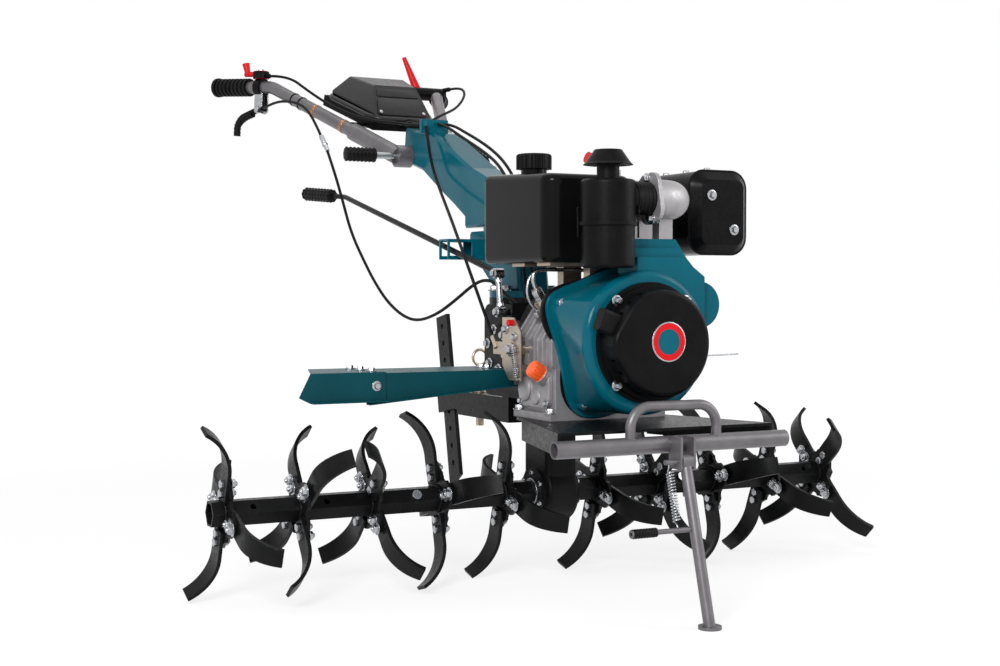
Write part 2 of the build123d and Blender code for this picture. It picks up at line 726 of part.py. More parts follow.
def gear_case():
    """The gear case behind the engine, with its bell flange, side covers, column seat and cable ends."""
    case = box(-CASE_HALF_WIDTH, CASE_HALF_WIDTH, CASE_FRONT, CASE_REAR, CASE_BOTTOM, CASE_TOP)
    case = fillet(case.edges().filter_by(Axis.X).sort_by(Axis.Y)[-2:], CASE_EDGE)
    bell = Plane(origin=at(0, CASE_FRONT + WELD, CRANK_Z), z_dir=(0, -1, 0))
    case += bell * Cylinder(BELL_RADIUS, CASE_FRONT - BLOCK_REAR + WELD, align=MIN_Z)
    cover_z = CASE_TOP - CASE_COVER_DROP
    cover_half = CASE_HALF_WIDTH + CASE_COVER_THICK
    case += rod(at(-cover_half, CASE_COVER_Y, cover_z), at(cover_half, CASE_COVER_Y, cover_z), 2 * CASE_COVER_RADIUS)
    case += post(0, SEAT_Y, CASE_TOP - WELD, BASE_FOOT, SEAT_RADIUS)
    case += box(LUG_LOW_X, -CASE_HALF_WIDTH + WELD, LUG_FRONT, LUG_REAR, LUG_LOW_Z, LUG_HIGH_Z)
    for route, depth in ((clutch_lower, CLUTCH_SEAT), (engine_lower, CASE_GLAND), (lamp_lower, CASE_GLAND)):
        case += ferrule(route[::-1], depth)
    return case


nodes["final_drive"] = final_drive()
nodes["gear_case"] = gear_case()

# Engine plate, bumper and front stand


def engine_plate():
    """A tapered plate with its sides folded down, open at front and rear."""
    slope = (PLATE_FRONT_HALF - PLATE_REAR_HALF) / (PLATE_REAR - PLATE_FRONT)

    def outline(rear, front, inset):
        """The plate's taper between two places along Y."""
        rear_half = PLATE_REAR_HALF + slope * (PLATE_REAR - rear) - inset
        front_half = PLATE_REAR_HALF + slope * (PLATE_REAR - front) - inset
        return [(-rear_half, rear), (rear_half, rear), (front_half, front), (-front_half, front)]

    foot = PLATE_TOP - PLATE_FLANGE
    sheet = plan_profile(outline(PLATE_REAR, PLATE_FRONT, 0), PLATE_TOP - PLATE_SHEET, PLATE_TOP)
    sides = plan_profile(outline(FLANGE_REAR, PLATE_FRONT, 0), foot, PLATE_TOP)
    past = 2 * PLATE_SHEET
    inside = plan_profile(outline(FLANGE_REAR + past, PLATE_FRONT - past, PLATE_SHEET), foot - past, PLATE_TOP)
    return sheet + (sides - inside)


def front_bumper():
    """The cross tube with the lifting loop welded on top."""
    left = at(-BUMPER_HALF, BUMPER_Y, BUMPER_Z)
    right = at(BUMPER_HALF, BUMPER_Y, BUMPER_Z)
    foot = BUMPER_Z + BUMPER_TUBE / 4
    crown = LOOP_TOP - LOOP_TUBE / 2
    loop = pipe(
        [
            at(-LOOP_HALF, BUMPER_Y, foot),
            at(-LOOP_HALF, BUMPER_Y, crown),
            at(LOOP_HALF, BUMPER_Y, crown),
            at(LOOP_HALF, BUMPER_Y, foot),
        ],
        LOOP_BEND,
        LOOP_TUBE,
    )
    return rod(left, right, BUMPER_TUBE) + loop - rod(left, right, BUMPER_TUBE - 2 * BUMPER_WALL)


nodes["engine_plate"] = engine_plate()
nodes["front_bumper"] = front_bumper()

stand_pivot = at(0, STAND_PIVOT_Y, STAND_PIVOT_Z)
stand_run = Vector(0, -sin(radians(STAND_RAKE)), -cos(radians(STAND_RAKE)))
stand_foot = stand_pivot + stand_run * (stand_pivot.Z / cos(radians(STAND_RAKE)))


def stand_bracket():
    """Two cheeks and a back plate on the bumper, carrying the stand's pin."""
    half = STAND_CHEEK_GAP / 2
    back = BUMPER_Y - BUMPER_TUBE / 4
    low = STAND_PIVOT_Z - STAND_EYE / 2
    high = BUMPER_Z + BUMPER_TUBE / 2
    cheeks = box(half, half + STAND_CHEEK, back - STAND_CHEEK_WIDTH, back, low, high)
    cheeks += box(-half - STAND_CHEEK, -half, back - STAND_CHEEK_WIDTH, back, low, high)
    cheeks += box(-half, half, back - STAND_CHEEK, back, STAND_PIVOT_Z + STAND_EYE / 2 + STAND_CHEEK / 2, high)
    pin_end = half + 2 * STAND_CHEEK
    lug_end = half + STAND_CHEEK + SPRING_OFFSET + SPRING_DIAMETER / 2
    cheeks += rod(stand_pivot - ACROSS * lug_end, stand_pivot + ACROSS * pin_end, STAND_PIN)
    tube = at(0, BUMPER_Y, BUMPER_Z)
    return cheeks - rod(tube - ACROSS * STAND_CHEEK_GAP, tube + ACROSS * STAND_CHEEK_GAP, BUMPER_TUBE + FIT)


def stand_leg():
    """The leg with its pivot eye and round foot."""
    eye_half = STAND_CHEEK_GAP / 2 - FIT
    eye = rod(stand_pivot - ACROSS * eye_half, stand_pivot + ACROSS * eye_half, STAND_EYE - 2 * FIT)
    leg = rod(stand_pivot, stand_foot, STAND_TUBE)
    leg -= Location(stand_foot) * Box(4 * STAND_FOOT, 4 * STAND_FOOT, 2 * STAND_FOOT_THICK - WELD)
    foot = Location(stand_foot) * Cylinder(STAND_FOOT / 2, STAND_FOOT_THICK, align=MIN_Z)
    hole = rod(stand_pivot - ACROSS * STAND_EYE, stand_pivot + ACROSS * STAND_EYE, STAND_PIN + 2 * FIT)
    return eye + leg + foot - hole


def stand_pedal():
    """The foot pedal: a rod across the leg with a rubber sleeve on its end."""
    root = stand_pivot + stand_run * PEDAL_DROP
    start = root - ACROSS * (STAND_TUBE / 2)
    end = root - ACROSS * PEDAL_REACH
    return rod(start, end, PEDAL_ROD) + rod(end + ACROSS * PEDAL_SLEEVE_LENGTH, end, PEDAL_SLEEVE)


nodes["stand_bracket"] = stand_bracket()
nodes["stand_leg"] = stand_leg()
nodes["stand_pedal"] = stand_pedal()
spring_line = stand_pivot - ACROSS * (STAND_CHEEK_GAP / 2 + STAND_CHEEK + SPRING_OFFSET)
spring_high = spring_line + stand_run * (STAND_PIN / 2 + FIT)
spring_low = spring_line + stand_run * (PEDAL_DROP - PEDAL_ROD / 2 - FIT)
nodes["stand_spring"] = rod(spring_high, spring_low, SPRING_DIAMETER)

# Engine block and head


def engine_block():
    """The crankcase: a base flange, straight sides and a sloping shoulder with ribs."""
    flange = box(-BLOCK_HALF, BLOCK_HALF, BLOCK_FRONT, BLOCK_REAR, PLATE_TOP, PLATE_TOP + BLOCK_BASE)
    body = front_profile(
        [
            (-BLOCK_SIDE, PLATE_TOP + BLOCK_BASE / 2),
            (-BLOCK_SIDE, BLOCK_SHOULDER),
            (BLOCK_TOP_X, BLOCK_TOP),
            (BARREL_LOW_X, BLOCK_DECK),
            (BLOCK_SIDE, BLOCK_DECK),
            (BLOCK_SIDE, PLATE_TOP + BLOCK_BASE / 2),
        ],
        BLOCK_FRONT,
        BLOCK_REAR,
    )
    body = fillet(body.edges().filter_by(Axis.Y).sort_by(Axis.X)[:2], BLOCK_EDGE)
    pitch = (BLOCK_REAR - BLOCK_FRONT - RIB_THICK) / (RIB_COUNT - 1)
    for n in range(RIB_COUNT):
        start = BLOCK_FRONT + n * pitch
        body += front_profile(
            [
                (-BLOCK_SIDE - RIB_STAND, BLOCK_SHOULDER - RIB_DROP),
                (-BLOCK_SIDE - RIB_STAND, BLOCK_SHOULDER + RIB_STAND / 2),
                (BLOCK_TOP_X - RIB_STAND / 2, BLOCK_TOP + RIB_STAND),
                (BLOCK_TOP_X + RIB_DROP / 2, BLOCK_TOP),
                (-BLOCK_SIDE + RIB_STAND, BLOCK_SHOULDER - RIB_DROP - RIB_STAND),
            ],
            start,
            start + RIB_THICK,
        )
    return flange + body


barrel_top = BLOCK_DECK + FIN_COUNT * FIN_PITCH
head_top = barrel_top + HEAD_HEIGHT


def cylinder_head():
    """The finned barrel with the head block and the rocker cover on top."""
    core = box(
        BARREL_LOW_X + FIN_DEPTH,
        BARREL_HIGH_X - FIN_DEPTH,
        BARREL_FRONT + FIN_DEPTH,
        BARREL_REAR - FIN_DEPTH,
        BLOCK_DECK,
        barrel_top,
    )
    for n in range(FIN_COUNT):
        fin_low = BLOCK_DECK + FIN_PITCH * (n + 0.5)
        core += box(BARREL_LOW_X, BARREL_HIGH_X, BARREL_FRONT, BARREL_REAR, fin_low, fin_low + FIN_THICK)
    head = box(BARREL_LOW_X, BARREL_HIGH_X, BARREL_FRONT, BARREL_REAR, barrel_top, head_top)
    cover = box(
        BARREL_LOW_X + ROCKER_INSET,
        BARREL_HIGH_X - ROCKER_INSET,
        BARREL_FRONT + ROCKER_INSET,
        BARREL_REAR - ROCKER_INSET,
        head_top - WELD,
        head_top + ROCKER_HEIGHT,
    )
    cover = fillet(cover.edges().filter_by(Axis.Z) + cover.faces().sort_by(Axis.Z)[-1].edges(), HEAD_EDGE)
    return core + fillet(head.edges().filter_by(Axis.Z), HEAD_EDGE) + cover


def decompression_lever():
    """The hand lever on the rocker cover, with its knob."""
    root = at(BARREL_LOW_X + 2 * ROCKER_INSET, (BARREL_FRONT + BARREL_REAR) / 2, head_top + ROCKER_HEIGHT + FIT)
    top = root + Vector(0, 0, DECOMP_RISE)
    way = Vector(-cos(radians(DECOMP_ANGLE)), 0, sin(radians(DECOMP_ANGLE)))
    knob = top + way * DECOMP_REACH
    arm = rod(top + DOWN * (DECOMP_ARM / 2), knob, DECOMP_ARM)
    return rod(root, top, 2 * DECOMP_ARM) + arm + rod(knob - way * DECOMP_KNOB, knob, DECOMP_KNOB)


nodes["engine_block"] = engine_block()
nodes["cylinder_head"] = cylinder_head()
nodes["decompression_lever"] = decompression_lever()

# Blower shroud and recoil starter


def shroud_ring(y, radii):
    """A smooth closed outline about the crank, from evenly turned radii."""
    step = 360 / len(radii)
    points = []
    for n, radius in enumerate(radii):
        turn = radians(step * n)
        points.append(at(radius * cos(turn), y, CRANK_Z + radius * sin(turn)))
    return make_face(Spline(*points, periodic=True))


def blower_shroud():
    """The pressed shroud: a flange on the block, a scroll drawn in to the starter and a stepped chimney."""
    root = BLOCK_FRONT - SHROUD_FLANGE / 2
    flange = extrude(shroud_ring(BLOCK_FRONT, SHROUD_REAR_RADII), SHROUD_FLANGE, dir=(0, -1, 0))
    root_radii = [radius - SHROUD_RIM for radius in SHROUD_REAR_RADII]
    front_radii = (SHROUD_FRONT_RADIUS,) * len(SHROUD_REAR_RADII)
    middle_radii = [(rear + SHROUD_FRONT_RADIUS) / 2 for rear in root_radii]
    scroll = loft(
        [
            shroud_ring(root, root_radii),
            shroud_ring((root + SHROUD_FRONT) / 2, middle_radii),
            shroud_ring(SHROUD_FRONT, front_radii),
        ]
    )
    scroll = fillet(scroll.faces().sort_by(Axis.Y)[0].edges(), SHROUD_EDGE)
    shroud = flange + scroll
    hood = [
        (CHIMNEY_LOW_X, CRANK_Z),
        (CHIMNEY_LOW_X, CHIMNEY_TOP),
        (CHIMNEY_TOP_X, CHIMNEY_TOP),
        (CHIMNEY_HIGH_X, CHIMNEY_SHOULDER),
        (CHIMNEY_HIGH_X, CRANK_Z),
    ]
    for step in range(3):
        low_y = SHROUD_FRONT + SHROUD_EDGE + step * 2 * CHIMNEY_RIDGE
        lowered = [(x, min(z, CHIMNEY_TOP - (2 - step) * 3 * CHIMNEY_RIDGE)) for x, z in hood]
        shroud += front_profile(lowered, low_y, CHIMNEY_BACK)
    throat = [(max(x, BARREL_LOW_X + ROCKER_INSET), z) for x, z in hood]
    shroud += front_profile(throat, CHIMNEY_BACK - WELD, BLOCK_FRONT)
    lobe = rod(at(LOBE_X, BLOCK_FRONT, LOBE_Z), at(LOBE_X, SHROUD_FRONT + 2 * SHROUD_EDGE, LOBE_Z), 2 * LOBE_RADIUS)
    return shroud + lobe


def recoil_starter():
    """The starter housing: a flange ring, a step and a slotted cap that bulges to the rope outlet."""
    base = Plane(origin=at(0, SHROUD_FRONT, CRANK_Z), x_dir=(1, 0, 0), z_dir=(0, -1, 0))
    length = SHROUD_FRONT - STARTER_FRONT
    outlet = Pos(-ROPE_OUTLET_OFFSET, 0) * Circle(ROPE_OUTLET_RADIUS)
    cap = extrude(make_hull(Circle(STARTER_CAP_RADIUS).edges() + outlet.edges()), length)
    cap = fillet(cap.faces().sort_by(Axis.Z)[-1].edges(), STARTER_EDGE)
    middle = (STARTER_STEP + length - STARTER_EDGE) / 2
    slot = Pos(0, 0, middle) * Box(2 * STARTER_SLOT_DEPTH, STARTER_SLOT_WIDTH, STARTER_SLOT_LENGTH)
    for place in PolarLocations(STARTER_CAP_RADIUS, STARTER_SLOTS):
        cap -= place * slot
    body = cap + Cylinder(STARTER_STEP_RADIUS, STARTER_STEP, align=MIN_Z)
    return base * (body + Cylinder(STARTER_RADIUS, STARTER_FLANGE, align=MIN_Z))


def starter_grip():
    """The pull handle beside the starter's rope outlet."""
    way = Vector(-cos(radians(GRIP_ANGLE)), 0, sin(radians(GRIP_ANGLE)))
    foot = at(0, SHROUD_FRONT - STARTER_STEP - GRIP_THICK / 2 - FIT, CRANK_Z) + way * (STARTER_CAP_RADIUS - GRIP_EDGE)
    seat = Plane(origin=foot, x_dir=(0, 1, 0), z_dir=way)
    handle = Box(GRIP_THICK, GRIP_WIDTH, GRIP_LENGTH, align=MIN_Z)
    return seat * fillet(handle.edges().filter_by(Axis.Z), GRIP_EDGE) - nodes["recoil_starter"]


nodes["blower_shroud"] = blower_shroud()
nodes["recoil_starter"] = recoil_starter()
nodes["starter_grip"] = starter_grip()

# Tank, air cleaner, intake and muffler


def fuel_tank():
    """A pressed tank with round corners, a top that falls to the front and a filler neck."""
    outline = [
        (TANK_FRONT, TANK_BOTTOM),
        (TANK_FRONT, TANK_TOP - TANK_DIP),
        (TANK_REAR, TANK_TOP),
        (TANK_REAR, TANK_BOTTOM),
    ]
    tank = side_profile(outline, TANK_LOW_X, TANK_HIGH_X)
    tank = fillet(tank.edges().filter_by(Axis.Z), TANK_CORNER)
    tank = fillet(tank.faces().sort_by(Axis.Z)[-1].edges(), TANK_EDGE)
    tank = fillet(tank.faces().sort_by(Axis.Z)[0].edges(), TANK_EDGE)
    return tank + post(CAP_X, CAP_Y, TANK_TOP - TANK_DIP, TANK_TOP + CAP_NECK, CAP_NECK_RADIUS)


def tank_bracket():
    """Two posts with a strap each, holding the tank above the block."""
    posts = []
    middle_x = (BLOCK_TOP_X + BARREL_LOW_X) / 2
    for place in (BLOCK_FRONT + POST_DEPTH, BLOCK_REAR - POST_DEPTH):
        low_x, high_x = middle_x - POST_WIDTH / 2, middle_x + POST_WIDTH / 2
        leg = box(low_x, high_x, place - POST_DEPTH / 2, place + POST_DEPTH / 2, BLOCK_SHOULDER, TANK_BOTTOM - WELD)
        strap = box(
            TANK_LOW_X + TANK_CORNER,
            TANK_HIGH_X - TANK_CORNER,
            place - STRAP_WIDTH / 2,
            place + STRAP_WIDTH / 2,
            TANK_BOTTOM - STRAP_THICK,
            TANK_BOTTOM,
        )
        posts.append(leg + strap - nodes["engine_block"])
    return Compound(posts)


def fuel_cap():
    """The filler cap with a scalloped rim."""
    foot = TANK_TOP + CAP_NECK
    cap = fillet(Cylinder(CAP_RADIUS, CAP_HEIGHT, align=MIN_Z).edges().sort_by(Axis.Z)[-1], CAP_EDGE)
    for place in PolarLocations(CAP_RADIUS + CAP_SCALLOP_RADIUS / 2, CAP_SCALLOPS):
        cap -= place * Cylinder(CAP_SCALLOP_RADIUS, 3 * CAP_HEIGHT)
    return Location(at(CAP_X, CAP_Y, foot)) * cap


nodes["fuel_tank"] = fuel_tank()
nodes["tank_bracket"] = tank_bracket()
nodes["fuel_cap"] = fuel_cap()


def air_cleaner():
    """The canister: a cup below, a slightly wider hood above and the clamp band between them."""
    low = CLEANER_BAND_Z - CLEANER_BAND / 2
    high = CLEANER_BAND_Z + CLEANER_BAND / 2
    cup = post(CLEANER_X, CLEANER_Y, CLEANER_BOTTOM, CLEANER_BAND_Z, CLEANER_CUP_RADIUS)
    hood = post(CLEANER_X, CLEANER_Y, CLEANER_BAND_Z, CLEANER_TOP, CLEANER_RADIUS)
    cup = fillet(cup.edges().sort_by(Axis.Z)[0], CLEANER_EDGE)
    hood = fillet(hood.edges().sort_by(Axis.Z)[-1], CLEANER_EDGE)
    return cup + hood + post(CLEANER_X, CLEANER_Y, low, high, CLEANER_RADIUS + CLEANER_BAND_STAND)


def rain_cap():
    """The mushroom inlet: a neck, a thin brim and a sloping crown."""
    brim = CLEANER_TOP + RAIN_NECK
    slope = brim + RAIN_BRIM
    return turned(
        CLEANER_X,
        CLEANER_Y,
        [
            (0, CLEANER_TOP),
            (RAIN_NECK_RADIUS, CLEANER_TOP),
            (RAIN_NECK_RADIUS, brim),
            (RAIN_BRIM_RADIUS, brim),
            (RAIN_BRIM_RADIUS - RAIN_BRIM, slope),
            (RAIN_CROWN_RADIUS, slope + RAIN_CROWN),
            (0, slope + RAIN_CROWN),
        ],
    )


def intake_elbow():
    """The cast elbow from the hose flange round to the head, on a foot on the chimney."""
    start = at(DUCT_FLANGE_X, CLEANER_Y, DUCT_Z)
    corner = at(DUCT_CORNER_X, CLEANER_Y, DUCT_Z)
    elbow = pipe([start, corner, at(DUCT_CORNER_X, BARREL_FRONT, DUCT_Z)], DUCT_BEND, DUCT_TUBE)
    plate = Plane(origin=start, x_dir=(0, 1, 0), z_dir=(1, 0, 0))
    ears = RectangleRounded(DUCT_TUBE, 2 * DUCT_FLANGE_HALF, DUCT_TUBE / 3)
    half_x, half_y = DUCT_FOOT_WIDTH / 2, DUCT_FOOT_DEPTH / 2
    elbow += box(
        DUCT_FOOT_X - half_x,
        DUCT_FOOT_X + half_x,
        DUCT_FOOT_Y - half_y,
        DUCT_FOOT_Y + half_y,
        CHIMNEY_TOP,
        DUCT_Z,
    )
    return elbow + extrude(plate * Rot(0, 0, DUCT_FLANGE_TURN) * ears, DUCT_FLANGE_THICK)


def intake_hose():
    """The short hose between the canister and the elbow's flange."""
    start = at(CLEANER_X, CLEANER_Y, DUCT_Z)
    hose = rod(start, at(DUCT_FLANGE_X, CLEANER_Y, DUCT_Z), HOSE_TUBE)
    return hose - post(CLEANER_X, CLEANER_Y, CLEANER_BOTTOM, head_top + HOSE_TUBE, CLEANER_RADIUS + FIT)


def muffler():
    """The silencer: round corners, a bevelled front shell, the flange pipe and the tail stub."""
    body = box(MUFFLER_LOW_X, MUFFLER_HIGH_X, MUFFLER_FRONT, MUFFLER_REAR, MUFFLER_BOTTOM, MUFFLER_TOP)
    body = fillet(body.edges().filter_by(Axis.Y), MUFFLER_CORNER)
    body = chamfer(body.faces().sort_by(Axis.Y)[0].edges(), MUFFLER_BEVEL)
    body = chamfer(body.faces().sort_by(Axis.Y)[-1].edges(), MUFFLER_BEVEL)
    middle = (BARREL_FRONT + BARREL_REAR) / 2
    body += rod(
        at(BARREL_HIGH_X, middle, MUFFLER_PORT_Z),
        at(MUFFLER_LOW_X + WELD, middle, MUFFLER_PORT_Z),
        MUFFLER_INLET,
    )
    tail = at(MUFFLER_HIGH_X - WELD, MUFFLER_TAIL_Y, MUFFLER_PORT_Z)
    return body + rod(tail, tail + ACROSS * (MUFFLER_TAIL_LENGTH + WELD), MUFFLER_TAIL)


nodes["air_cleaner"] = air_cleaner()
nodes["rain_cap"] = rain_cap()
nodes["intake_elbow"] = intake_elbow()
nodes["intake_hose"] = intake_hose()
nodes["muffler"] = muffler()

# Left side of the engine: governor plate, pump and oil filler


def governor_plate():
    """The control plate on a boss beside the crankcase, with the arm that ends the throttle cable."""
    plate = side_profile(
        [
            (GOVERNOR_FRONT, GOVERNOR_BOTTOM),
            (GOVERNOR_FRONT, GOVERNOR_TOP - GOVERNOR_CUT),
            (GOVERNOR_FRONT + GOVERNOR_CUT, GOVERNOR_TOP),
            (GOVERNOR_REAR, GOVERNOR_TOP),
            (GOVERNOR_REAR, GOVERNOR_BOTTOM + GOVERNOR_CUT),
            (GOVERNOR_REAR - GOVERNOR_CUT, GOVERNOR_BOTTOM),
        ],
        GOVERNOR_X - GOVERNOR_SHEET,
        GOVERNOR_X,
    )
    outside = at(GOVERNOR_X - 2 * GOVERNOR_SHEET, GOVERNOR_BOSS_Y, GOVERNOR_BOSS_Z)
    inside = at(-BLOCK_SIDE + BLOCK_EDGE, GOVERNOR_BOSS_Y, GOVERNOR_BOSS_Z)
    low_x, high_x = GOVERNOR_X - GOVERNOR_SHEET, GOVERNOR_X
    plate += box(low_x, high_x, GOVERNOR_REAR - WELD, GOVERNOR_ARM_REAR, GOVERNOR_ARM_LOW, GOVERNOR_ARM_HIGH)
    plate += ferrule(throttle_lower[::-1], LEVER_GLAND)
    return plate + rod(outside, inside, GOVERNOR_BOSS) - nodes["engine_block"]


def injection_pump():
    """The pump on the crankcase's shoulder, with its delivery fitting."""
    way = Vector(-sin(radians(PUMP_LEAN)), 0, cos(radians(PUMP_LEAN)))
    root = at((BLOCK_TOP_X - BLOCK_SIDE) / 2, PUMP_Y, (BLOCK_SHOULDER + BLOCK_TOP) / 2)
    body = rod(root, root + way * PUMP_RISE * 2 / 3, PUMP_TUBE)
    return body + rod(root, root + way * PUMP_RISE, PUMP_FITTING) - nodes["engine_block"]


def oil_filler():
    """The oil filler's plug on its cast boss."""
    root = at(-BLOCK_SIDE, FILLER_Y, FILLER_Z)
    way = Vector(-cos(radians(PUMP_LEAN)), 0, sin(radians(PUMP_LEAN)))
    boss_end = root + way * FILLER_BOSS_LENGTH
    boss = rod(root - way * FILLER_BOSS_LENGTH, boss_end, FILLER_BOSS)
    plug = rod(boss_end - way * WELD, boss_end + way * FILLER_CAP_LENGTH, FILLER_CAP)
    return boss + plug - nodes["engine_block"]


nodes["governor_plate"] = governor_plate()
nodes["injection_pump"] = injection_pump()
nodes["oil_filler"] = oil_filler()

# Fender on the right-hand side, with its bolted extension
fender_slope = (FENDER_OUTER_WALL - FENDER_INNER_WALL) / (FENDER_OUTER - FENDER_INNER)


def wall_depth(x):
    """The depth of the fender's front wall, which grows outwards."""
    return FENDER_INNER_WALL + fender_slope * (x - FENDER_INNER)


def fender_panel(top_outline, wall_outline, lip_ends, lap):
    """A folded sheet: top, front wall and a lip along the wall's foot."""
    top = FENDER_TOP + lap
    front = FENDER_FRONT - lap
    panel = plan_profile([(-x, y) for x, y in top_outline], top - FENDER_SHEET, top)
    panel += front_profile([(-x, top - drop) for x, drop in wall_outline], front, front + FENDER_SHEET)
    lip = [(-x, top - drop) for x, drop in lip_ends]
    lip += [(-x, top - drop + FENDER_SHEET) for x, drop in lip_ends[::-1]]
    return panel + front_profile(lip, front - FENDER_LIP, front + FENDER_SHEET)


def fender():
    """The inner panel of the fender."""
    inner, outer = FENDER_INNER, FENDER_OUTER
    top = [(inner, FENDER_FRONT), (outer, FENDER_FRONT), (outer, FENDER_REAR), (inner, FENDER_REAR)]
    wall = [(inner, 0), (outer, 0), (outer, wall_depth(outer)), (inner, wall_depth(inner))]
    return fender_panel(top, wall, [(inner, wall_depth(inner)), (outer, wall_depth(outer))], 0)


def fender_extension():
    """The outer panel, lapped over the inner one, its end cut to a point."""
    inner, outer = FENDER_OUTER - EXTENSION_OVERLAP, EXTENSION_OUTER
    front = FENDER_FRONT - FENDER_SHEET
    top = [(inner, front), (outer, front), (EXTENSION_REAR_OUTER, FENDER_REAR), (inner, FENDER_REAR)]
    deep = wall_depth(inner)
    point = (outer + EXTENSION_POINT, deep * EXTENSION_POINT_SHARE)
    wall = [(inner, 0), (outer, 0), point, (outer, deep), (inner, deep)]
    return fender_panel(top, wall, [(inner, deep), (outer, deep)], FENDER_SHEET)


def fender_bracket():
    """The stay from the gear case out under the fender."""
    top = FENDER_TOP - FENDER_SHEET
    low_y, high_y = STAY_Y - STAY_WIDTH / 2, STAY_Y + STAY_WIDTH / 2
    end = -FENDER_INNER - STAY_WIDTH
    stay = box(end, -CASE_HALF_WIDTH, low_y, high_y, top - STAY_THICK, top)
    return stay + box(-CASE_HALF_WIDTH - STAY_THICK, -CASE_HALF_WIDTH, low_y, high_y, top - STAY_FOOT, top)


nodes["fender"] = fender()
nodes["fender_extension"] = fender_extension()
nodes["fender_bracket"] = fender_bracket()

# Hitch box, its pin, and the drag stake
stake_up = Vector(0, sin(radians(STAKE_LEAN)), cos(radians(STAKE_LEAN)))
stake_plane = Plane(origin=at(0, STAKE_FOOT_Y, STAKE_FOOT_Z), x_dir=(1, 0, 0), z_dir=stake_up)


def drag_stake():
    """A flat bar with a row of pin holes and a slanted foot."""
    half = STAKE_WIDTH / 2
    outline = make_face(
        Polyline(
            (-half, STAKE_FOOT_CUT),
            (half, 0),
            (half, STAKE_LENGTH),
            (-half, STAKE_LENGTH),
            close=True,
        )
    )
    bar = extrude(Plane.YZ * outline, STAKE_THICK / 2, both=True)
    pitch = (STAKE_LENGTH - STAKE_HOLE_FROM_TOP - STAKE_HOLE_FROM_FOOT) / (STAKE_HOLES - 1)
    for n in range(STAKE_HOLES):
        height = STAKE_HOLE_FROM_FOOT + n * pitch
        bar -= Pos(0, 0, height) * Rot(0, 90, 0) * Cylinder(STAKE_HOLE / 2, 4 * STAKE_THICK)
    return stake_plane * bar


hitch_low = HITCH_Z - HITCH_HEIGHT / 2
hitch_high = HITCH_Z + HITCH_HEIGHT / 2
pin_bore = post(0, HITCH_PIN_Y, hitch_low - WELD, hitch_high + WELD, HITCH_PIN / 2 + FIT)


def hitch_box():
    """The box behind the gear case, open to the rear for a tongue."""
    body = box(-HITCH_HALF, HITCH_HALF, HITCH_FRONT, HITCH_REAR, hitch_low, hitch_high)
    half = HITCH_HALF - HITCH_WALL
    body -= box(-half, half, CASE_REAR, HITCH_REAR + WELD, hitch_low + HITCH_WALL, hitch_high - HITCH_WALL)
    body += box(-HITCH_HALF, HITCH_HALF, HITCH_FRONT, CASE_REAR - CASE_EDGE, hitch_high - WELD, CASE_BOTTOM)
    return body - pin_bore


def stake_holder():
    """The tongue in the hitch box, with the slanted socket that holds the stake."""
    half = HITCH_HALF - HITCH_WALL - FIT
    rise = HITCH_WALL + FIT
    tongue = box(-half, half, CASE_REAR + 4 * HITCH_WALL, STAKE_FOOT_Y, hitch_low + rise, hitch_high - rise)
    level = (HITCH_Z - STAKE_FOOT_Z) / cos(radians(STAKE_LEAN))
    socket = Box(STAKE_THICK + 2 * HOLDER_WALL, STAKE_WIDTH + 2 * HOLDER_WALL, HITCH_HEIGHT)
    slot = Box(STAKE_THICK + 2 * FIT, STAKE_WIDTH + 2 * FIT, 3 * HITCH_HEIGHT)
    seat = stake_plane * Pos(0, 0, level)
    return tongue + seat * socket - seat * slot - pin_bore


def hitch_pin():
    """The drop pin through the hitch box, with its ring."""
    top = HITCH_Z + HITCH_PIN_ABOVE
    pin = post(0, HITCH_PIN_Y, HITCH_Z - HITCH_PIN_BELOW, top, HITCH_PIN / 2)
    ring = Torus(HITCH_RING / 2, HITCH_RING_WIRE / 2)
    collar = HITCH_Z + HITCH_HEIGHT / 2 + FIT
    pin += post(0, HITCH_PIN_Y, collar, collar + HITCH_RING_WIRE, HITCH_PIN)
    return pin + Location(at(0, HITCH_PIN_Y, top + HITCH_RING / 2)) * Rot(90, 0, 0) * ring


nodes["drag_stake"] = drag_stake()
nodes["hitch_box"] = hitch_box()
nodes["stake_holder"] = stake_holder()
nodes["hitch_pin"] = hitch_pin()

# Column on its swivel, with the levers it carries


def folded_box(outline):
    """A closed sheet box across the machine's middle, with chamfered side edges."""
    body = side_profile(outline, -COLUMN_HALF, COLUMN_HALF)
    rims = body.faces().sort_by(Axis.X)
    hollow = extrude(offset(rims[0], -COLUMN_WALL), 2 * (COLUMN_HALF - COLUMN_WALL), dir=(1, 0, 0))
    return chamfer(rims[0].edges() + rims[-1].edges(), COLUMN_EDGE) - Pos(COLUMN_WALL, 0, 0) * hollow


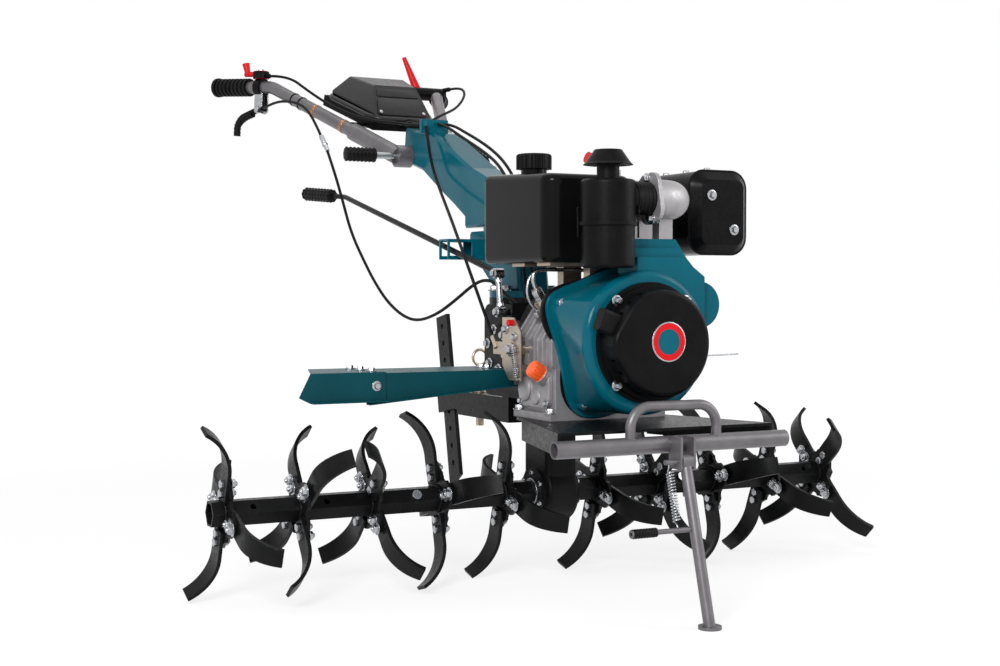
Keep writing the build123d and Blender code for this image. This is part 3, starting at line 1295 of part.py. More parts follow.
def column_base():
    """The fixed foot of the column: a round flange, a box, the swivel's spindle and the gear lever's gate."""
    foot = BASE_FOOT + BASE_FLANGE
    base = folded_box(
        [
            (SEAT_Y - BASE_FRONT, foot - WELD),
            (SEAT_Y - BASE_WAIST, foot + BASE_WAIST_RISE),
            (SWIVEL_Y - BASE_TOP_FRONT, SWIVEL_Z),
            (SWIVEL_Y + BASE_TOP_REAR, SWIVEL_Z),
            (SWIVEL_Y + BASE_TOP_REAR, SWIVEL_Z - BASE_LIP),
            (SWIVEL_Y + BASE_HEEL, SWIVEL_Z - BASE_HEEL_DROP),
            (SEAT_Y + BASE_REAR, foot - WELD),
        ]
    )
    base += post(0, SEAT_Y, BASE_FOOT, foot, SEAT_RADIUS)
    base += post(0, SWIVEL_Y, SWIVEL_Z - 2 * COLUMN_WALL, ARM_FOOT - SWIVEL_PLAY, SWIVEL_COLLAR_RADIUS)
    base += post(0, SWIVEL_Y, SWIVEL_Z - 2 * COLUMN_WALL, ARM_FOOT + SWIVEL_PIN_HEIGHT, SWIVEL_PIN_RADIUS)
    low_y, high_y = GUIDE_Y - GUIDE_WIDTH / 2, GUIDE_Y + GUIDE_WIDTH / 2
    gate = box(-GUIDE_REACH, -COLUMN_HALF + WELD, low_y, high_y, GUIDE_LOW, GUIDE_HIGH)
    gate -= box(
        -GUIDE_REACH - WELD,
        -COLUMN_HALF,
        low_y + GUIDE_SHEET,
        high_y - GUIDE_SHEET,
        GUIDE_LOW - WELD,
        GUIDE_HIGH - GUIDE_SHEET,
    )
    slope = (GEAR_BEND_Z - GEAR_ROOT_Z) / (GEAR_BEND_Y - GEAR_ROOT_Y)
    level = GEAR_ROOT_Z + slope * (GUIDE_Y - GEAR_ROOT_Y)
    gate -= box(
        -GUIDE_REACH + GUIDE_SHEET,
        GUIDE_SLOT_INNER,
        low_y - WELD,
        high_y + WELD,
        level - GUIDE_SLOT,
        level + GUIDE_SLOT,
    )
    return base + gate


def steering_column():
    """The arm that swings on the spindle: a folded box with the cable clip on top."""
    outline = [(SWIVEL_Y + y, ARM_FOOT + z) for y, z in zip(ARM_FRONT_YS, ARM_FRONT_ZS)]
    outline += [(TILT_Y + y, TILT_Z + z) for y, z in zip(ARM_HEAD_YS, ARM_HEAD_ZS)]
    outline += [(SWIVEL_Y + ARM_REAR, ARM_FOOT + ARM_REAR_RISE), (SWIVEL_Y + ARM_REAR, ARM_FOOT)]
    column = folded_box(outline)
    column -= post(0, SWIVEL_Y, ARM_FOOT - WELD, ARM_FOOT + SWIVEL_PIN_HEIGHT, SWIVEL_PIN_RADIUS + FIT)
    clip_low = CLIP_Z - 2 * CLIP_HEIGHT
    column += box(CLIP_LOW_X, CLIP_HIGH_X, CLIP_FRONT, CLIP_REAR, clip_low, CLIP_Z + CLIP_HEIGHT)
    for route in (throttle_lower, engine_lower, lamp_lower):
        column += ferrule(route, STUB_DEPTH)
    for route in (throttle_upper, engine_upper, lamp_upper):
        column += ferrule(route[::-1], STUB_DEPTH)
    tilt = at(0, TILT_Y, TILT_Z)
    return column - rod(tilt - ACROSS * 2 * COLUMN_HALF, tilt + ACROSS * 2 * COLUMN_HALF, TILT_BOLT + FIT)


def tilt_clamp():
    """The clamp bolt through column and tilt discs, with its long hand grip."""
    tilt = at(0, TILT_Y, TILT_Z)
    bolt_end = COLUMN_HALF + TILT_DISC_THICK + SLEEVE_TUBE / 2 + TILT_BOLT
    bolt = rod(tilt - ACROSS * TILT_GRIP_END, tilt + ACROSS * bolt_end, TILT_BOLT)
    return bolt + rod(tilt - ACROSS * TILT_GRIP_END, tilt - ACROSS * TILT_GRIP_START, TILT_GRIP)


def swivel_lever():
    """The lever that frees the swivel, on a boss at the column's left side."""
    root = at(SWING_X, SWING_Y, SWING_Z)
    end = at(SWING_X, SWING_END_Y, SWING_END_Z)
    way = (end - root).normalized()
    boss = rod(at(COLUMN_HALF, SWING_Y, SWING_Z), at(SWING_X + SWING_ROD / 2, SWING_Y, SWING_Z), SWING_BOSS)
    return boss + rod(root, end, SWING_ROD) + rod(end - way * SWING_GRIP_LENGTH, end, SWING_GRIP)


def gear_lever():
    """The gear lever: a bent rod from a joint, and the link down to its shift shaft on the gear case."""
    points = [
        at(GEAR_X, GEAR_ROOT_Y, GEAR_ROOT_Z),
        at(GEAR_X, GEAR_BEND_Y, GEAR_BEND_Z),
        at(GEAR_END_X, GEAR_END_Y, GEAR_END_Z),
    ]
    way = (points[2] - points[1]).normalized()
    lever = pipe(points, GEAR_BEND, GEAR_ROD)
    lever += rod(points[2] - way * GEAR_GRIP_LENGTH, points[2], GEAR_GRIP)
    shaft = at(GEAR_X, GEAR_SHAFT_Y, GEAR_SHAFT_Z)
    for middle in (points[0], shaft):
        lever += rod(middle - ACROSS * (GEAR_JOINT / 2), middle + ACROSS * (GEAR_JOINT / 2), GEAR_JOINT)
    lever += rod(points[0], shaft, GEAR_LINK)
    return lever + rod(shaft, at(-CASE_HALF_WIDTH, GEAR_SHAFT_Y, GEAR_SHAFT_Z), GEAR_SHAFT)


nodes["column_base"] = column_base()
nodes["steering_column"] = steering_column()
nodes["tilt_clamp"] = tilt_clamp()
nodes["swivel_lever"] = swivel_lever()
nodes["gear_lever"] = gear_lever()

# Handlebars, console and hand controls


def arm_points(side):
    """The middle line of one handlebar from its tilt disc to the end of the grip."""
    start_x = COLUMN_HALF + TILT_DISC_THICK + SLEEVE_TUBE / 3
    return [
        at(side * start_x, TILT_Y, TILT_Z),
        at(side * ARM_BEND_X, ARM_BEND_Y, ARM_BEND_Z),
        at(side * ARM_END_X, ARM_END_Y, ARM_END_Z),
    ]


def handlebar(side):
    """One arm: the tilt disc, a thick sleeve and the bent tube."""
    points = arm_points(side)
    run = (points[1] - points[0]).normalized()
    tube = pipe(points, ARM_BEND, ARM_TUBE, ARM_WALL)
    sleeve = rod(points[0], points[0] + run * SLEEVE_LENGTH, SLEEVE_TUBE)
    tilt = at(0, TILT_Y, TILT_Z)
    far = tilt + ACROSS * side * (COLUMN_HALF + TILT_DISC_THICK + SLEEVE_TUBE / 2)
    disc = rod(tilt, far, TILT_DISC)
    hole = rod(tilt, tilt + ACROSS * side * 4 * COLUMN_HALF, TILT_BOLT + 2 * FIT)
    inside = Location(tilt) * Box(2 * (COLUMN_HALF + FIT), 2 * TILT_DISC, 2 * TILT_DISC)
    return tube + sleeve + disc - hole - inside


def handgrip(side):
    """The ribbed rubber grip on the end of one arm."""
    points = arm_points(side)
    run = (points[2] - points[1]).normalized()
    end = points[2] + run * HANDGRIP_END
    start = end - run * HANDGRIP_LENGTH
    body = rod(start, end, HANDGRIP_TUBE)
    pitch = (HANDGRIP_LENGTH - HANDGRIP_RING_WIDTH) / (HANDGRIP_RINGS - 1)
    for n in range(HANDGRIP_RINGS):
        low = start + run * pitch * n
        body += rod(low, low + run * HANDGRIP_RING_WIDTH, HANDGRIP_RING)
    return body - rod(start - run * HANDGRIP_END, points[2] + run * FIT, ARM_TUBE + 2 * FIT)


for name, side in (("right", -1), ("left", 1)):
    nodes[f"handlebar_{name}"] = handlebar(side)
    nodes[f"handgrip_{name}"] = handgrip(side)


console_down = Vector(0, CONSOLE_REAR_Z - CONSOLE_FRONT_Z, CONSOLE_FRONT_Y - CONSOLE_REAR_Y).normalized()


def console_outline(front_half, front_y, front_z, rear_half, rear_y, rear_z, drop=0.0):
    """A tilted four-sided outline, alike on both sides, lowered square to the console's base."""
    corners = [
        at(-front_half, front_y, front_z),
        at(front_half, front_y, front_z),
        at(rear_half, rear_y, rear_z),
        at(-rear_half, rear_y, rear_z),
    ]
    return make_face(Polyline(*[corner + console_down * drop for corner in corners], close=True))


def console_base(drop):
    """The joint face between cover and tray."""
    front = (CONSOLE_FRONT_HALF, CONSOLE_FRONT_Y, CONSOLE_FRONT_Z)
    return console_outline(*front, CONSOLE_REAR_HALF, CONSOLE_REAR_Y, CONSOLE_REAR_Z, drop)


def console_top(drop):
    """The cover's upper face."""
    front = (CONSOLE_TOP_FRONT_HALF, CONSOLE_TOP_FRONT_Y, CONSOLE_TOP_FRONT_Z)
    return console_outline(*front, CONSOLE_TOP_REAR_HALF, CONSOLE_TOP_REAR_Y, CONSOLE_TOP_REAR_Z, drop)


def console_cover():
    """The cover between the arms: a low tapered hood with round edges, open below."""
    hood = loft([console_base(0), console_top(0)])
    base_edges = hood.faces().sort_by(Axis.Z)[0].edges()
    hood = fillet([edge for edge in hood.edges() if edge not in base_edges], CONSOLE_EDGE)
    return hood - loft([offset(console_base(0), -CONSOLE_WALL), offset(console_top(CONSOLE_WALL), -CONSOLE_WALL)])


def console_tray():
    """The tray under the cover, with a cross tab to the arms and the cables' outlets."""
    tray = extrude(console_base(0), TRAY_DEPTH, dir=console_down)
    tray -= extrude(offset(console_base(0), -CONSOLE_WALL), TRAY_DEPTH - CONSOLE_WALL, dir=console_down)
    share = (TRAY_TAB_Y - CONSOLE_FRONT_Y) / (CONSOLE_REAR_Y - CONSOLE_FRONT_Y)
    level = CONSOLE_FRONT_Z + share * (CONSOLE_REAR_Z - CONSOLE_FRONT_Z) - TRAY_DEPTH
    half = TRAY_TAB_WIDTH / 2
    tab = box(-TRAY_TAB_HALF, TRAY_TAB_HALF, TRAY_TAB_Y - half, TRAY_TAB_Y + half, level - TRAY_TAB_THICK, level)
    tray += tab
    for side in (-1, 1):
        points = arm_points(side)
        tray -= rod(points[0], points[1], ARM_TUBE + 2 * FIT)
    tray += ferrule(engine_upper, TRAY_GLAND) + ferrule(lamp_upper, TRAY_GLAND)
    return tray + ferrule(reverse_cable[::-1], TRAY_SIDE_GLAND)


nodes["console_cover"] = console_cover()
nodes["console_tray"] = console_tray()

arm_right = arm_points(-1)
grip_run = (arm_right[2] - arm_right[1]).normalized()
perch = arm_right[1] + grip_run * PERCH_FROM_BEND
perch_half = grip_run * (PERCH_WIDTH / 2)
clamp = rod(perch - perch_half, perch + perch_half, ARM_TUBE + 2 * PERCH_WALL)
arm_bore = rod(perch - perch_half * 3, perch + perch_half * 3, ARM_TUBE + 2 * FIT)


def clutch_lever():
    """The clutch lever hanging from its clamp on the right-hand arm."""
    pivot = perch + DOWN * (ARM_TUBE / 2 + PERCH_DROP)
    elbow = pivot + grip_run * CLUTCH_REACH + DOWN * (PERCH_DROP / 2)
    lever = clamp + rod(perch, pivot, PERCH_CHEEK) - arm_bore
    root = pivot - DOWN * (CLUTCH_LEVER / 2)
    lever += ferrule(clutch_upper, LEVER_GLAND)
    return lever + pipe([root, elbow, elbow + DOWN * CLUTCH_LENGTH], CLUTCH_BEND, CLUTCH_LEVER)


def throttle_lever():
    """The thumb lever on a round base on top of the clutch clamp."""
    base_z = Vector(0, 0, ARM_TUBE / 2 + PERCH_WALL - WELD)
    base_top = base_z + Vector(0, 0, THUMB_HEIGHT)
    base = rod(perch + base_z, perch + base_top, THUMB_BASE) - clamp
    root = perch + base_top + DOWN * (THUMB_ARM / 2)
    elbow = root + grip_run * THUMB_REACH
    tip = elbow + grip_run * (THUMB_ARM / 2) + Vector(0, 0, THUMB_RISE)
    base += rod(root, elbow + grip_run * (THUMB_ARM / 2), THUMB_ARM) + ferrule(throttle_upper, LEVER_GLAND)
    return base + taper(elbow, tip, THUMB_ARM, THUMB_TIP)


def reverse_lever():
    """The upright lever on a boss that reaches inwards from its clamp on the left-hand arm."""
    arm = arm_points(1)
    run = (arm[2] - arm[1]).normalized()
    root = arm[1] + run * REVERSE_FROM_BEND
    half = run * (PERCH_WIDTH / 2)
    lift = Vector(0, 0, REVERSE_LIFT)
    boss = rod(root + lift - ACROSS * REVERSE_INWARD, root + lift + ACROSS * REVERSE_OUTWARD, REVERSE_BOSS)
    boss += rod(root - half, root + half, ARM_TUBE + 2 * PERCH_WALL)
    boss += ferrule(reverse_cable, LEVER_GLAND)
    boss -= rod(root - half * 4, root + half * 4, ARM_TUBE + 2 * FIT)
    foot = root + lift - ACROSS * REVERSE_FOOT_X
    tip = root + Vector(-REVERSE_TIP_X, REVERSE_TIP_Y, REVERSE_TIP_Z)
    return boss + taper(foot, tip, REVERSE_ROOT, REVERSE_TIP)


nodes["clutch_lever"] = clutch_lever()
nodes["throttle_lever"] = throttle_lever()
nodes["reverse_lever"] = reverse_lever()

os.makedirs("parts", exist_ok=True)
for name, shape in nodes.items():
    export_step(shape, f"parts/{name}.step")
    print(name, len(shape.solids()), round(shape.volume))
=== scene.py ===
"""Looks of a walk-behind diesel tiller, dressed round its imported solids.

Points are given as in the solids: millimetres from the tine axle, x to the operator's left,
y to the rear and z up. `at` moves them into the part's frame, and a mesh turns them into metres.
"""
import logging
import math
from dataclasses import dataclass, field
from enum import Enum

import bpy
import numpy as np
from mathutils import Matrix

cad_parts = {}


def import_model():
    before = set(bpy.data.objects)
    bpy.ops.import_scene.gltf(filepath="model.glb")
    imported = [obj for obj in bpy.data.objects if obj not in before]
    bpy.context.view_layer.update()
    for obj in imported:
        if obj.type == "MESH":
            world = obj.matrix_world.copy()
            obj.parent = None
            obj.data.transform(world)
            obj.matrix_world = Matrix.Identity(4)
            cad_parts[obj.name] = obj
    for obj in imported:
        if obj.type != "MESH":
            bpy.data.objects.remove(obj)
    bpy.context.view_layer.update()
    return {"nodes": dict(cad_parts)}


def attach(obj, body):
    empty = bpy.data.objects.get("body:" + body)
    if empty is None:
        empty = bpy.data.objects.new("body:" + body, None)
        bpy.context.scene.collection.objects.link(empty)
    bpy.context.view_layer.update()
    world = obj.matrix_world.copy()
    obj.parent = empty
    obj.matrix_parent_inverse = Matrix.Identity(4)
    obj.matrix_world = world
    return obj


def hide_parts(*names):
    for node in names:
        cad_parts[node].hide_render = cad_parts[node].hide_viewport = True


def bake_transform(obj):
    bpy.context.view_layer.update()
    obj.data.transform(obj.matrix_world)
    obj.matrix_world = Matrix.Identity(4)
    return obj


LOG = logging.getLogger("tiller")

Array = np.ndarray
Pair = tuple[float, float]
Triple = tuple[float, float, float]
Profile = tuple[Pair, ...]
Route = tuple[Triple, ...]
Socket = bpy.types.NodeSocket
Tree = bpy.types.NodeTree
Thing = bpy.types.Object

MM = 0.001
AXLE = np.array([0.0, -290.0, 150.639])
FULL_TURN = 2.0 * math.pi
BOTH_SIDES = (-1, 1)
ACROSS = np.array([1.0, 0.0, 0.0])
REARWARD = np.array([0.0, 1.0, 0.0])
UPWARD = np.array([0.0, 0.0, 1.0])
FORWARD = -REARWARD

CREASE = 38.0
SOFT_CREASE = 60.0
WIRE_SIDES = 8
RIB_STEPS = 8
LOBE_STEPS = 6
NUB_EDGE = 2.5
KNURL_EDGE = 3.0
RIBBED_END, NUBBED_END, LEAST_END = 3.0, 2.0, 0.05
COLLAR_RIM = 0.8
PLATE_RIM = 1.2

HEAD_SHAPE = np.array([[1.0, 0.0], [1.0, 0.82], [0.86, 1.0]])
WASHER_SHAPE = np.array([[0.86, 0.0], [0.86, 0.8], [0.8, 1.0]])
WASHER_LIFT = 0.9
KNURL_SHAPE = np.array([[0.94, 0.0], [1.0, 0.06], [1.0, 0.82], [0.95, 0.94], [0.84, 1.0]])
RIM_LEVELS = np.array([0.0, 0.3, 1.0])
RIM_DEPTHS = np.array([1.0, 0.25, 0.0])
RIM_RISE = 0.6

PATCH_SPAN: Pair = (0.38, 0.66)
GLOSS_SPAN: Pair = (0.3, 0.7)
EDGE_SPAN: Pair = (0.995, 0.90)
WHOLE_SPAN: Pair = (0.0, 1.0)
PATCH_DETAIL, GLOSS_DETAIL, GRAIN_DETAIL = 5.0, 4.0, 3.0
GLOSS_FINENESS = 6.0
CHIP_SCALE, CHIP_DETAIL = 160.0, 6.0
CHIP_START, CHIP_END, CHIP_SHIFT = 0.62, 0.72, 0.3
COAT_ROUGHNESS = 0.08
EDGE_SAMPLES = 4
RELIEF_HEIGHT = 0.0006


class Body(Enum):
    """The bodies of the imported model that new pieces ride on."""

    CHASSIS = "chassis"
    ROTOR = "tine_rotor"
    STAND = "stand"
    COLUMN = "column"
    HANDLEBARS = "handlebars"


def at(x: float, y: float, z: float) -> Array:
    """A point counted from the tine axle, kept in millimetres of the part's frame."""
    return AXLE + np.array([x, y, z])


def unit(way: Array) -> Array:
    """The given directions at length one."""
    return way / np.linalg.norm(way, axis=-1, keepdims=True)


def square_axes(ways: Array) -> tuple[Array, Array]:
    """Two unit vectors square to each direction, from the world axis that all lean on least.

    Args:
        ways: Unit directions, one row each.

    Returns:
        The first and second cross directions; first, second and way are right-handed.
    """
    lean = np.abs(ways).max(axis=0)
    helper = np.eye(3)[int(np.argmin(lean))]
    first = unit(np.cross(helper, ways))
    return first, np.cross(ways, first)


def full_turn(count: int) -> Array:
    """Angles evenly spread over one turn, the last short of the first."""
    return np.linspace(0.0, FULL_TURN, count, endpoint=False)


def circle(turn: Array, first: Array, second: Array) -> Array:
    """Directions at given angles: cosine times the first axis plus sine times the second."""
    return np.cos(turn)[:, None] * first + np.sin(turn)[:, None] * second


def tangents(path: Array) -> Array:
    """Unit directions along a path, from the difference of each point's two neighbours."""
    return unit(np.gradient(path, axis=0))


def carried(
    path: Array, radius: float | Array, first: Array, second: Array, sides: int
) -> Array:
    """A round section carried along a path: each point plus its radius times a circle.

    Args:
        path: Points of the middle line.
        radius: One radius, or one for each point.
        first: The section's first axis at each point.
        second: The section's second axis at each point.
        sides: Points round the section.

    Returns:
        A net with a row for each path point and a column for each side.
    """
    ring = circle(full_turn(sides), first[:, None, :], second[:, None, :])
    reach = np.broadcast_to(np.asarray(radius, float), (len(path),))
    return path[:, None, :] + reach[:, None, None] * ring


def swept(path: Array, radius: float | Array, sides: int) -> Array:
    """A round section carried along an open path, square to the path's own directions."""
    return carried(path, radius, *square_axes(tangents(path)), sides)


def swept_ring(path: Array, radius: float | Array, sides: int) -> Array:
    """A round section carried round a closed path lying in one plane.

    Args:
        path: Points of the closed middle line, the last not repeating the first.
        radius: One radius, or one for each point.
        sides: Points round the section.

    Returns:
        A net whose last row joins its first.
    """
    ways = unit(np.roll(path, -1, axis=0) - np.roll(path, 1, axis=0))
    flat = unit(np.cross(ways[0], ways[len(ways) // 4]))
    first = np.broadcast_to(flat, ways.shape)
    return carried(path, radius, first, np.cross(ways, first), sides)


def turned(reach: Array, heights: Array, base: Array, way: Array) -> Array:
    """A surface about an axis: at each height, the reach of each turn along its direction.

    Args:
        reach: Radii, with a row for each height and a column for each turn.
        heights: Distances along the axis, growing.
        base: The point of the axis at height zero.
        way: The axis direction.

    Returns:
        A net with the rows and columns of the reach.
    """
    axis = unit(way)
    ring = circle(full_turn(reach.shape[1]), *square_axes(axis[None, :]))
    return base + heights[:, None, None] * axis + reach[..., None] * ring


def spun(profile: Profile | Array, base: Array, way: Array, sides: int) -> Array:
    """A turned surface: each radius of the profile swung round the axis at its height.

    Args:
        profile: Rows of radius and height, heights growing along the axis.
        base: The point of the axis at height zero.
        way: The axis direction.
        sides: Points round the axis.

    Returns:
        A net with a row for each profile point.
    """
    rows = np.asarray(profile, float)
    return turned(np.repeat(rows[:, :1], sides, axis=1), rows[:, 1], base, way)


def rounded_rectangle(width: float, height: float, corner: float, steps: int = 6) -> Array:
    """A closed outline: four corner arcs, each a quarter turn about its centre.

    Args:
        width: The outline's size along its first axis.
        height: The outline's size along its second axis.
        corner: The corners' radius.
        steps: Points on each arc.

    Returns:
        The outline's points, counter-clockwise.
    """
    turn = (np.arange(4)[:, None] + np.linspace(0.0, 1.0, steps)[None, :]) * math.pi / 2
    signs = np.array([[1, 1], [-1, 1], [-1, -1], [1, -1]], float)
    centres = signs * np.array([width / 2 - corner, height / 2 - corner])
    arcs = centres[:, None, :] + corner * np.stack([np.cos(turn), np.sin(turn)], axis=-1)
    return arcs.reshape(-1, 2)


def eased(corners: Route | Profile, steps: int = 24, width: int = 9) -> Array:
    """A closed outline with eased corners: points on its sides, each the mean of its neighbours.

    Args:
        corners: The outline's corners, in two or three dimensions.
        steps: Points on each side.
        width: How many neighbours each mean takes.

    Returns:
        The outline's points.
    """
    ends = np.array(corners, dtype=float)
    share = np.linspace(0.0, 1.0, steps, endpoint=False)[None, :, None]
    line = ends[:, None, :] * (1.0 - share) + np.roll(ends, -1, axis=0)[:, None, :] * share
    line = line.reshape(-1, ends.shape[1])
    shifts = range(-(width // 2), width // 2 + 1)
    return np.mean([np.roll(line, shift, axis=0) for shift in shifts], axis=0)


def inset(outline: Array, depth: float) -> Array:
    """A closed outline moved inwards along the mean of each point's two edge normals.

    Args:
        outline: Points of the outline, counter-clockwise.
        depth: How far it moves.

    Returns:
        The moved outline.
    """
    ahead = np.roll(outline, -1, axis=0) - outline
    behind = outline - np.roll(outline, 1, axis=0)
    run = unit(unit(ahead) + unit(behind))
    inward = np.stack([-run[:, 1], run[:, 0]], axis=1)
    return outline + depth * inward


def slab(
    outline: Array, centre: Array, right: Array, up: Array, thick: float, edge: float
) -> Array:
    """A plate with a rounded rim: the outline drawn in at both faces and full in between.

    Args:
        outline: Closed outline in the plate's own plane, counter-clockwise.
        centre: The middle of the plate's back face.
        right: The outline's first axis.
        up: The outline's second axis.
        thick: The plate's thickness, towards right x up.
        edge: The rim's rounding.

    Returns:
        A net with a row for each level of the rim.
    """
    right, up = unit(right), unit(up)
    rise, draw = RIM_LEVELS * edge * RIM_RISE, RIM_DEPTHS * edge
    levels = np.concatenate([rise, thick - rise[::-1]])
    flat = np.stack([inset(outline, depth) for depth in (*draw, *draw[::-1])])
    face = centre + flat[..., 0, None] * right + flat[..., 1, None] * up
    return face + levels[:, None, None] * np.cross(right, up)


def plate(
    middle: Array, right: Array, up: Array, size: Pair, corner: float, thick: float
) -> Array:
    """A rounded plate that stands off its middle towards right x up."""
    outline, edge = rounded_rectangle(*size, corner), min(PLATE_RIM, thick / 3)
    return slab(outline, middle, right, up, thick, edge)


def through(points: list[Array], steps: int = 8) -> Array:
    """A smooth line through points: cubic pieces whose slopes are the neighbours' differences.

    Args:
        points: The points that the line passes.
        steps: Points on each piece.

    Returns:
        The line's points, the last of them the last one given.
    """
    knots = np.asarray(points, float)
    slopes = np.gradient(knots, axis=0)
    share = np.linspace(0.0, 1.0, steps, endpoint=False)[None, :, None]
    start, end = knots[:-1, None, :], knots[1:, None, :]
    leave, arrive = slopes[:-1, None, :], slopes[1:, None, :]
    cube, flat = share**3, share**2
    line = (2 * cube - 3 * flat + 1) * start + (cube - 2 * flat + share) * leave
    line = line + (3 * flat - 2 * cube) * end + (cube - flat) * arrive
    return np.vstack([line.reshape(-1, 3), knots[-1:]])


def tube(points: list[Array], radius: float, sides: int = 12) -> Array:
    """A round bar carried along a smooth line through given points."""
    return swept(through(points), radius, sides)


def coil(start: Array, end: Array, radius: float, turns: int, steps: int) -> Array:
    """A coil's line: it turns evenly about the axis from start to end.

    Args:
        start: The axis at the first turn.
        end: The axis at the last turn.
        radius: The line's distance from the axis.
        turns: How many turns it makes.
        steps: Points on each turn.

    Returns:
        The line's points.
    """
    share = np.linspace(0.0, 1.0, turns * steps)
    axes = square_axes(unit(end - start)[None, :])
    line = start + share[:, None] * (end - start)
    return line + radius * circle(share * turns * FULL_TURN, *axes)


def collar(start: Array, end: Array, radius: float, sides: int = 32) -> Array:
    """A short round sleeve with softened rims.

    Args:
        start: The middle of one end.
        end: The middle of the other end.
        radius: The sleeve's radius.
        sides: Points round it.

    Returns:
        A turned net.
    """
    length = float(np.linalg.norm(end - start))
    rim = min(COLLAR_RIM, length / 4)
    inner = radius - rim
    profile = ((inner, 0.0), (radius, rim), (radius, length - rim), (inner, length))
    return spun(profile, start, end - start, sides)


def knurled(start: Array, end: Array, radius: float, ribs: int, depth: float) -> Array:
    """A cap with ribs along its axis: the radius follows a squared-off cosine round the axis.

    Args:
        start: The middle of the foot.
        end: The middle of the top.
        radius: The largest radius.
        ribs: Ribs round the cap.
        depth: How deep the grooves are.

    Returns:
        A net with a row for each level and a column for each turn.
    """
    length = float(np.linalg.norm(end - start))
    wave = np.tanh(KNURL_EDGE * np.cos(full_turn(ribs * RIB_STEPS) * ribs)) / 2.0 - 0.5
    reach = KNURL_SHAPE[:, :1] * (radius + depth * wave)[None, :]
    return turned(reach, KNURL_SHAPE[:, 1] * length, start, end - start)


def rounded_ends(share: Array, length: float, rounding: float) -> Array:
    """How far a grip closes near its ends: the root of the way to the nearer end, in roundings."""
    nearer = np.minimum(share, 1.0 - share) * length / rounding
    return np.sqrt(np.clip(nearer, LEAST_END, 1.0))


def ribbed_grip(start: Array, end: Array, radius: float, ribs: int, depth: float) -> Array:
    """A hand grip: its radius swells in even ribs along its length and closes in round ends.

    Args:
        start: The middle of the inner end.
        end: The middle of the outer end.
        radius: The largest radius.
        ribs: How many ribs it has.
        depth: How deep the grooves are.

    Returns:
        A turned net.
    """
    length = float(np.linalg.norm(end - start))
    share = np.linspace(0.0, 1.0, ribs * RIB_STEPS + 1)
    wave = 0.5 - 0.5 * np.cos(share * ribs * FULL_TURN)
    reach = (radius - depth * (1.0 - wave**0.5)) * rounded_ends(share, length, RIBBED_END)
    return spun(np.stack([reach, share * length], axis=1), start, end - start, 28)


def nubbed_grip(
    start: Array, end: Array, radius: float, rings: int, lobes: int, depth: float
) -> Array:
    """A hand grip set with nubs: its radius swells where a wave along it meets one round it.

    Args:
        start: The middle of the inner end.
        end: The middle of the outer end.
        radius: The largest radius.
        rings: Rings of nubs along the grip.
        lobes: Nubs round each ring.
        depth: How far the nubs stand out.

    Returns:
        A net with a row for each level and a column for each turn.
    """
    length = float(np.linalg.norm(end - start))
    share = np.linspace(0.0, 1.0, rings * RIB_STEPS + 1)
    along = 0.5 - 0.5 * np.tanh(NUB_EDGE * np.cos(share * rings * FULL_TURN))
    around = 0.5 + 0.5 * np.tanh(NUB_EDGE * np.cos(full_turn(lobes * LOBE_STEPS) * lobes))
    nubs = radius - depth * (1.0 - along[:, None] * around[None, :])
    reach = rounded_ends(share, length, NUBBED_END)[:, None] * nubs
    return turned(reach, share * length, start, end - start)


@dataclass
class Shell:
    """Nets of points gathered into one mesh."""

    nets: list[Array] = field(default_factory=list)
    faces: list[list[int]] = field(default_factory=list)
    count: int = 0

    def add(self, net: Array, capped: bool = True, ring: bool = False) -> "Shell":
        """Adds a net whose columns close on themselves.

        Args:
            net: Rows along the piece, columns round it, points last.
            capped: Closes both ends with a face.
            ring: Joins the last row to the first instead.

        Returns:
            The shell itself, so that calls can follow each other.
        """
        rows, columns = net.shape[:2]
        index = self.count + np.arange(rows * columns).reshape(rows, columns)
        if ring:
            index = np.vstack([index, index[:1]])
        beside = np.roll(index, -1, axis=1)
        quads = np.stack([index[:-1], beside[:-1], beside[1:], index[1:]], axis=-1)
        self.faces.extend(quads.reshape(-1, 4).tolist())
        if capped and not ring:
            self.faces.append(index[0, ::-1].tolist())
            self.faces.append(index[-1].tolist())
        self.nets.append(net.reshape(-1, 3))
        self.count += rows * columns
        return self

    def mesh(self, name: str) -> bpy.types.Mesh:
        """The gathered nets as a Blender mesh, in metres.

        Args:
            name: The mesh's name.

        Returns:
            The mesh.
        """
        made = bpy.data.meshes.new(name)
        made.from_pydata((np.vstack(self.nets) * MM).tolist(), [], self.faces)
        made.update()
        return made


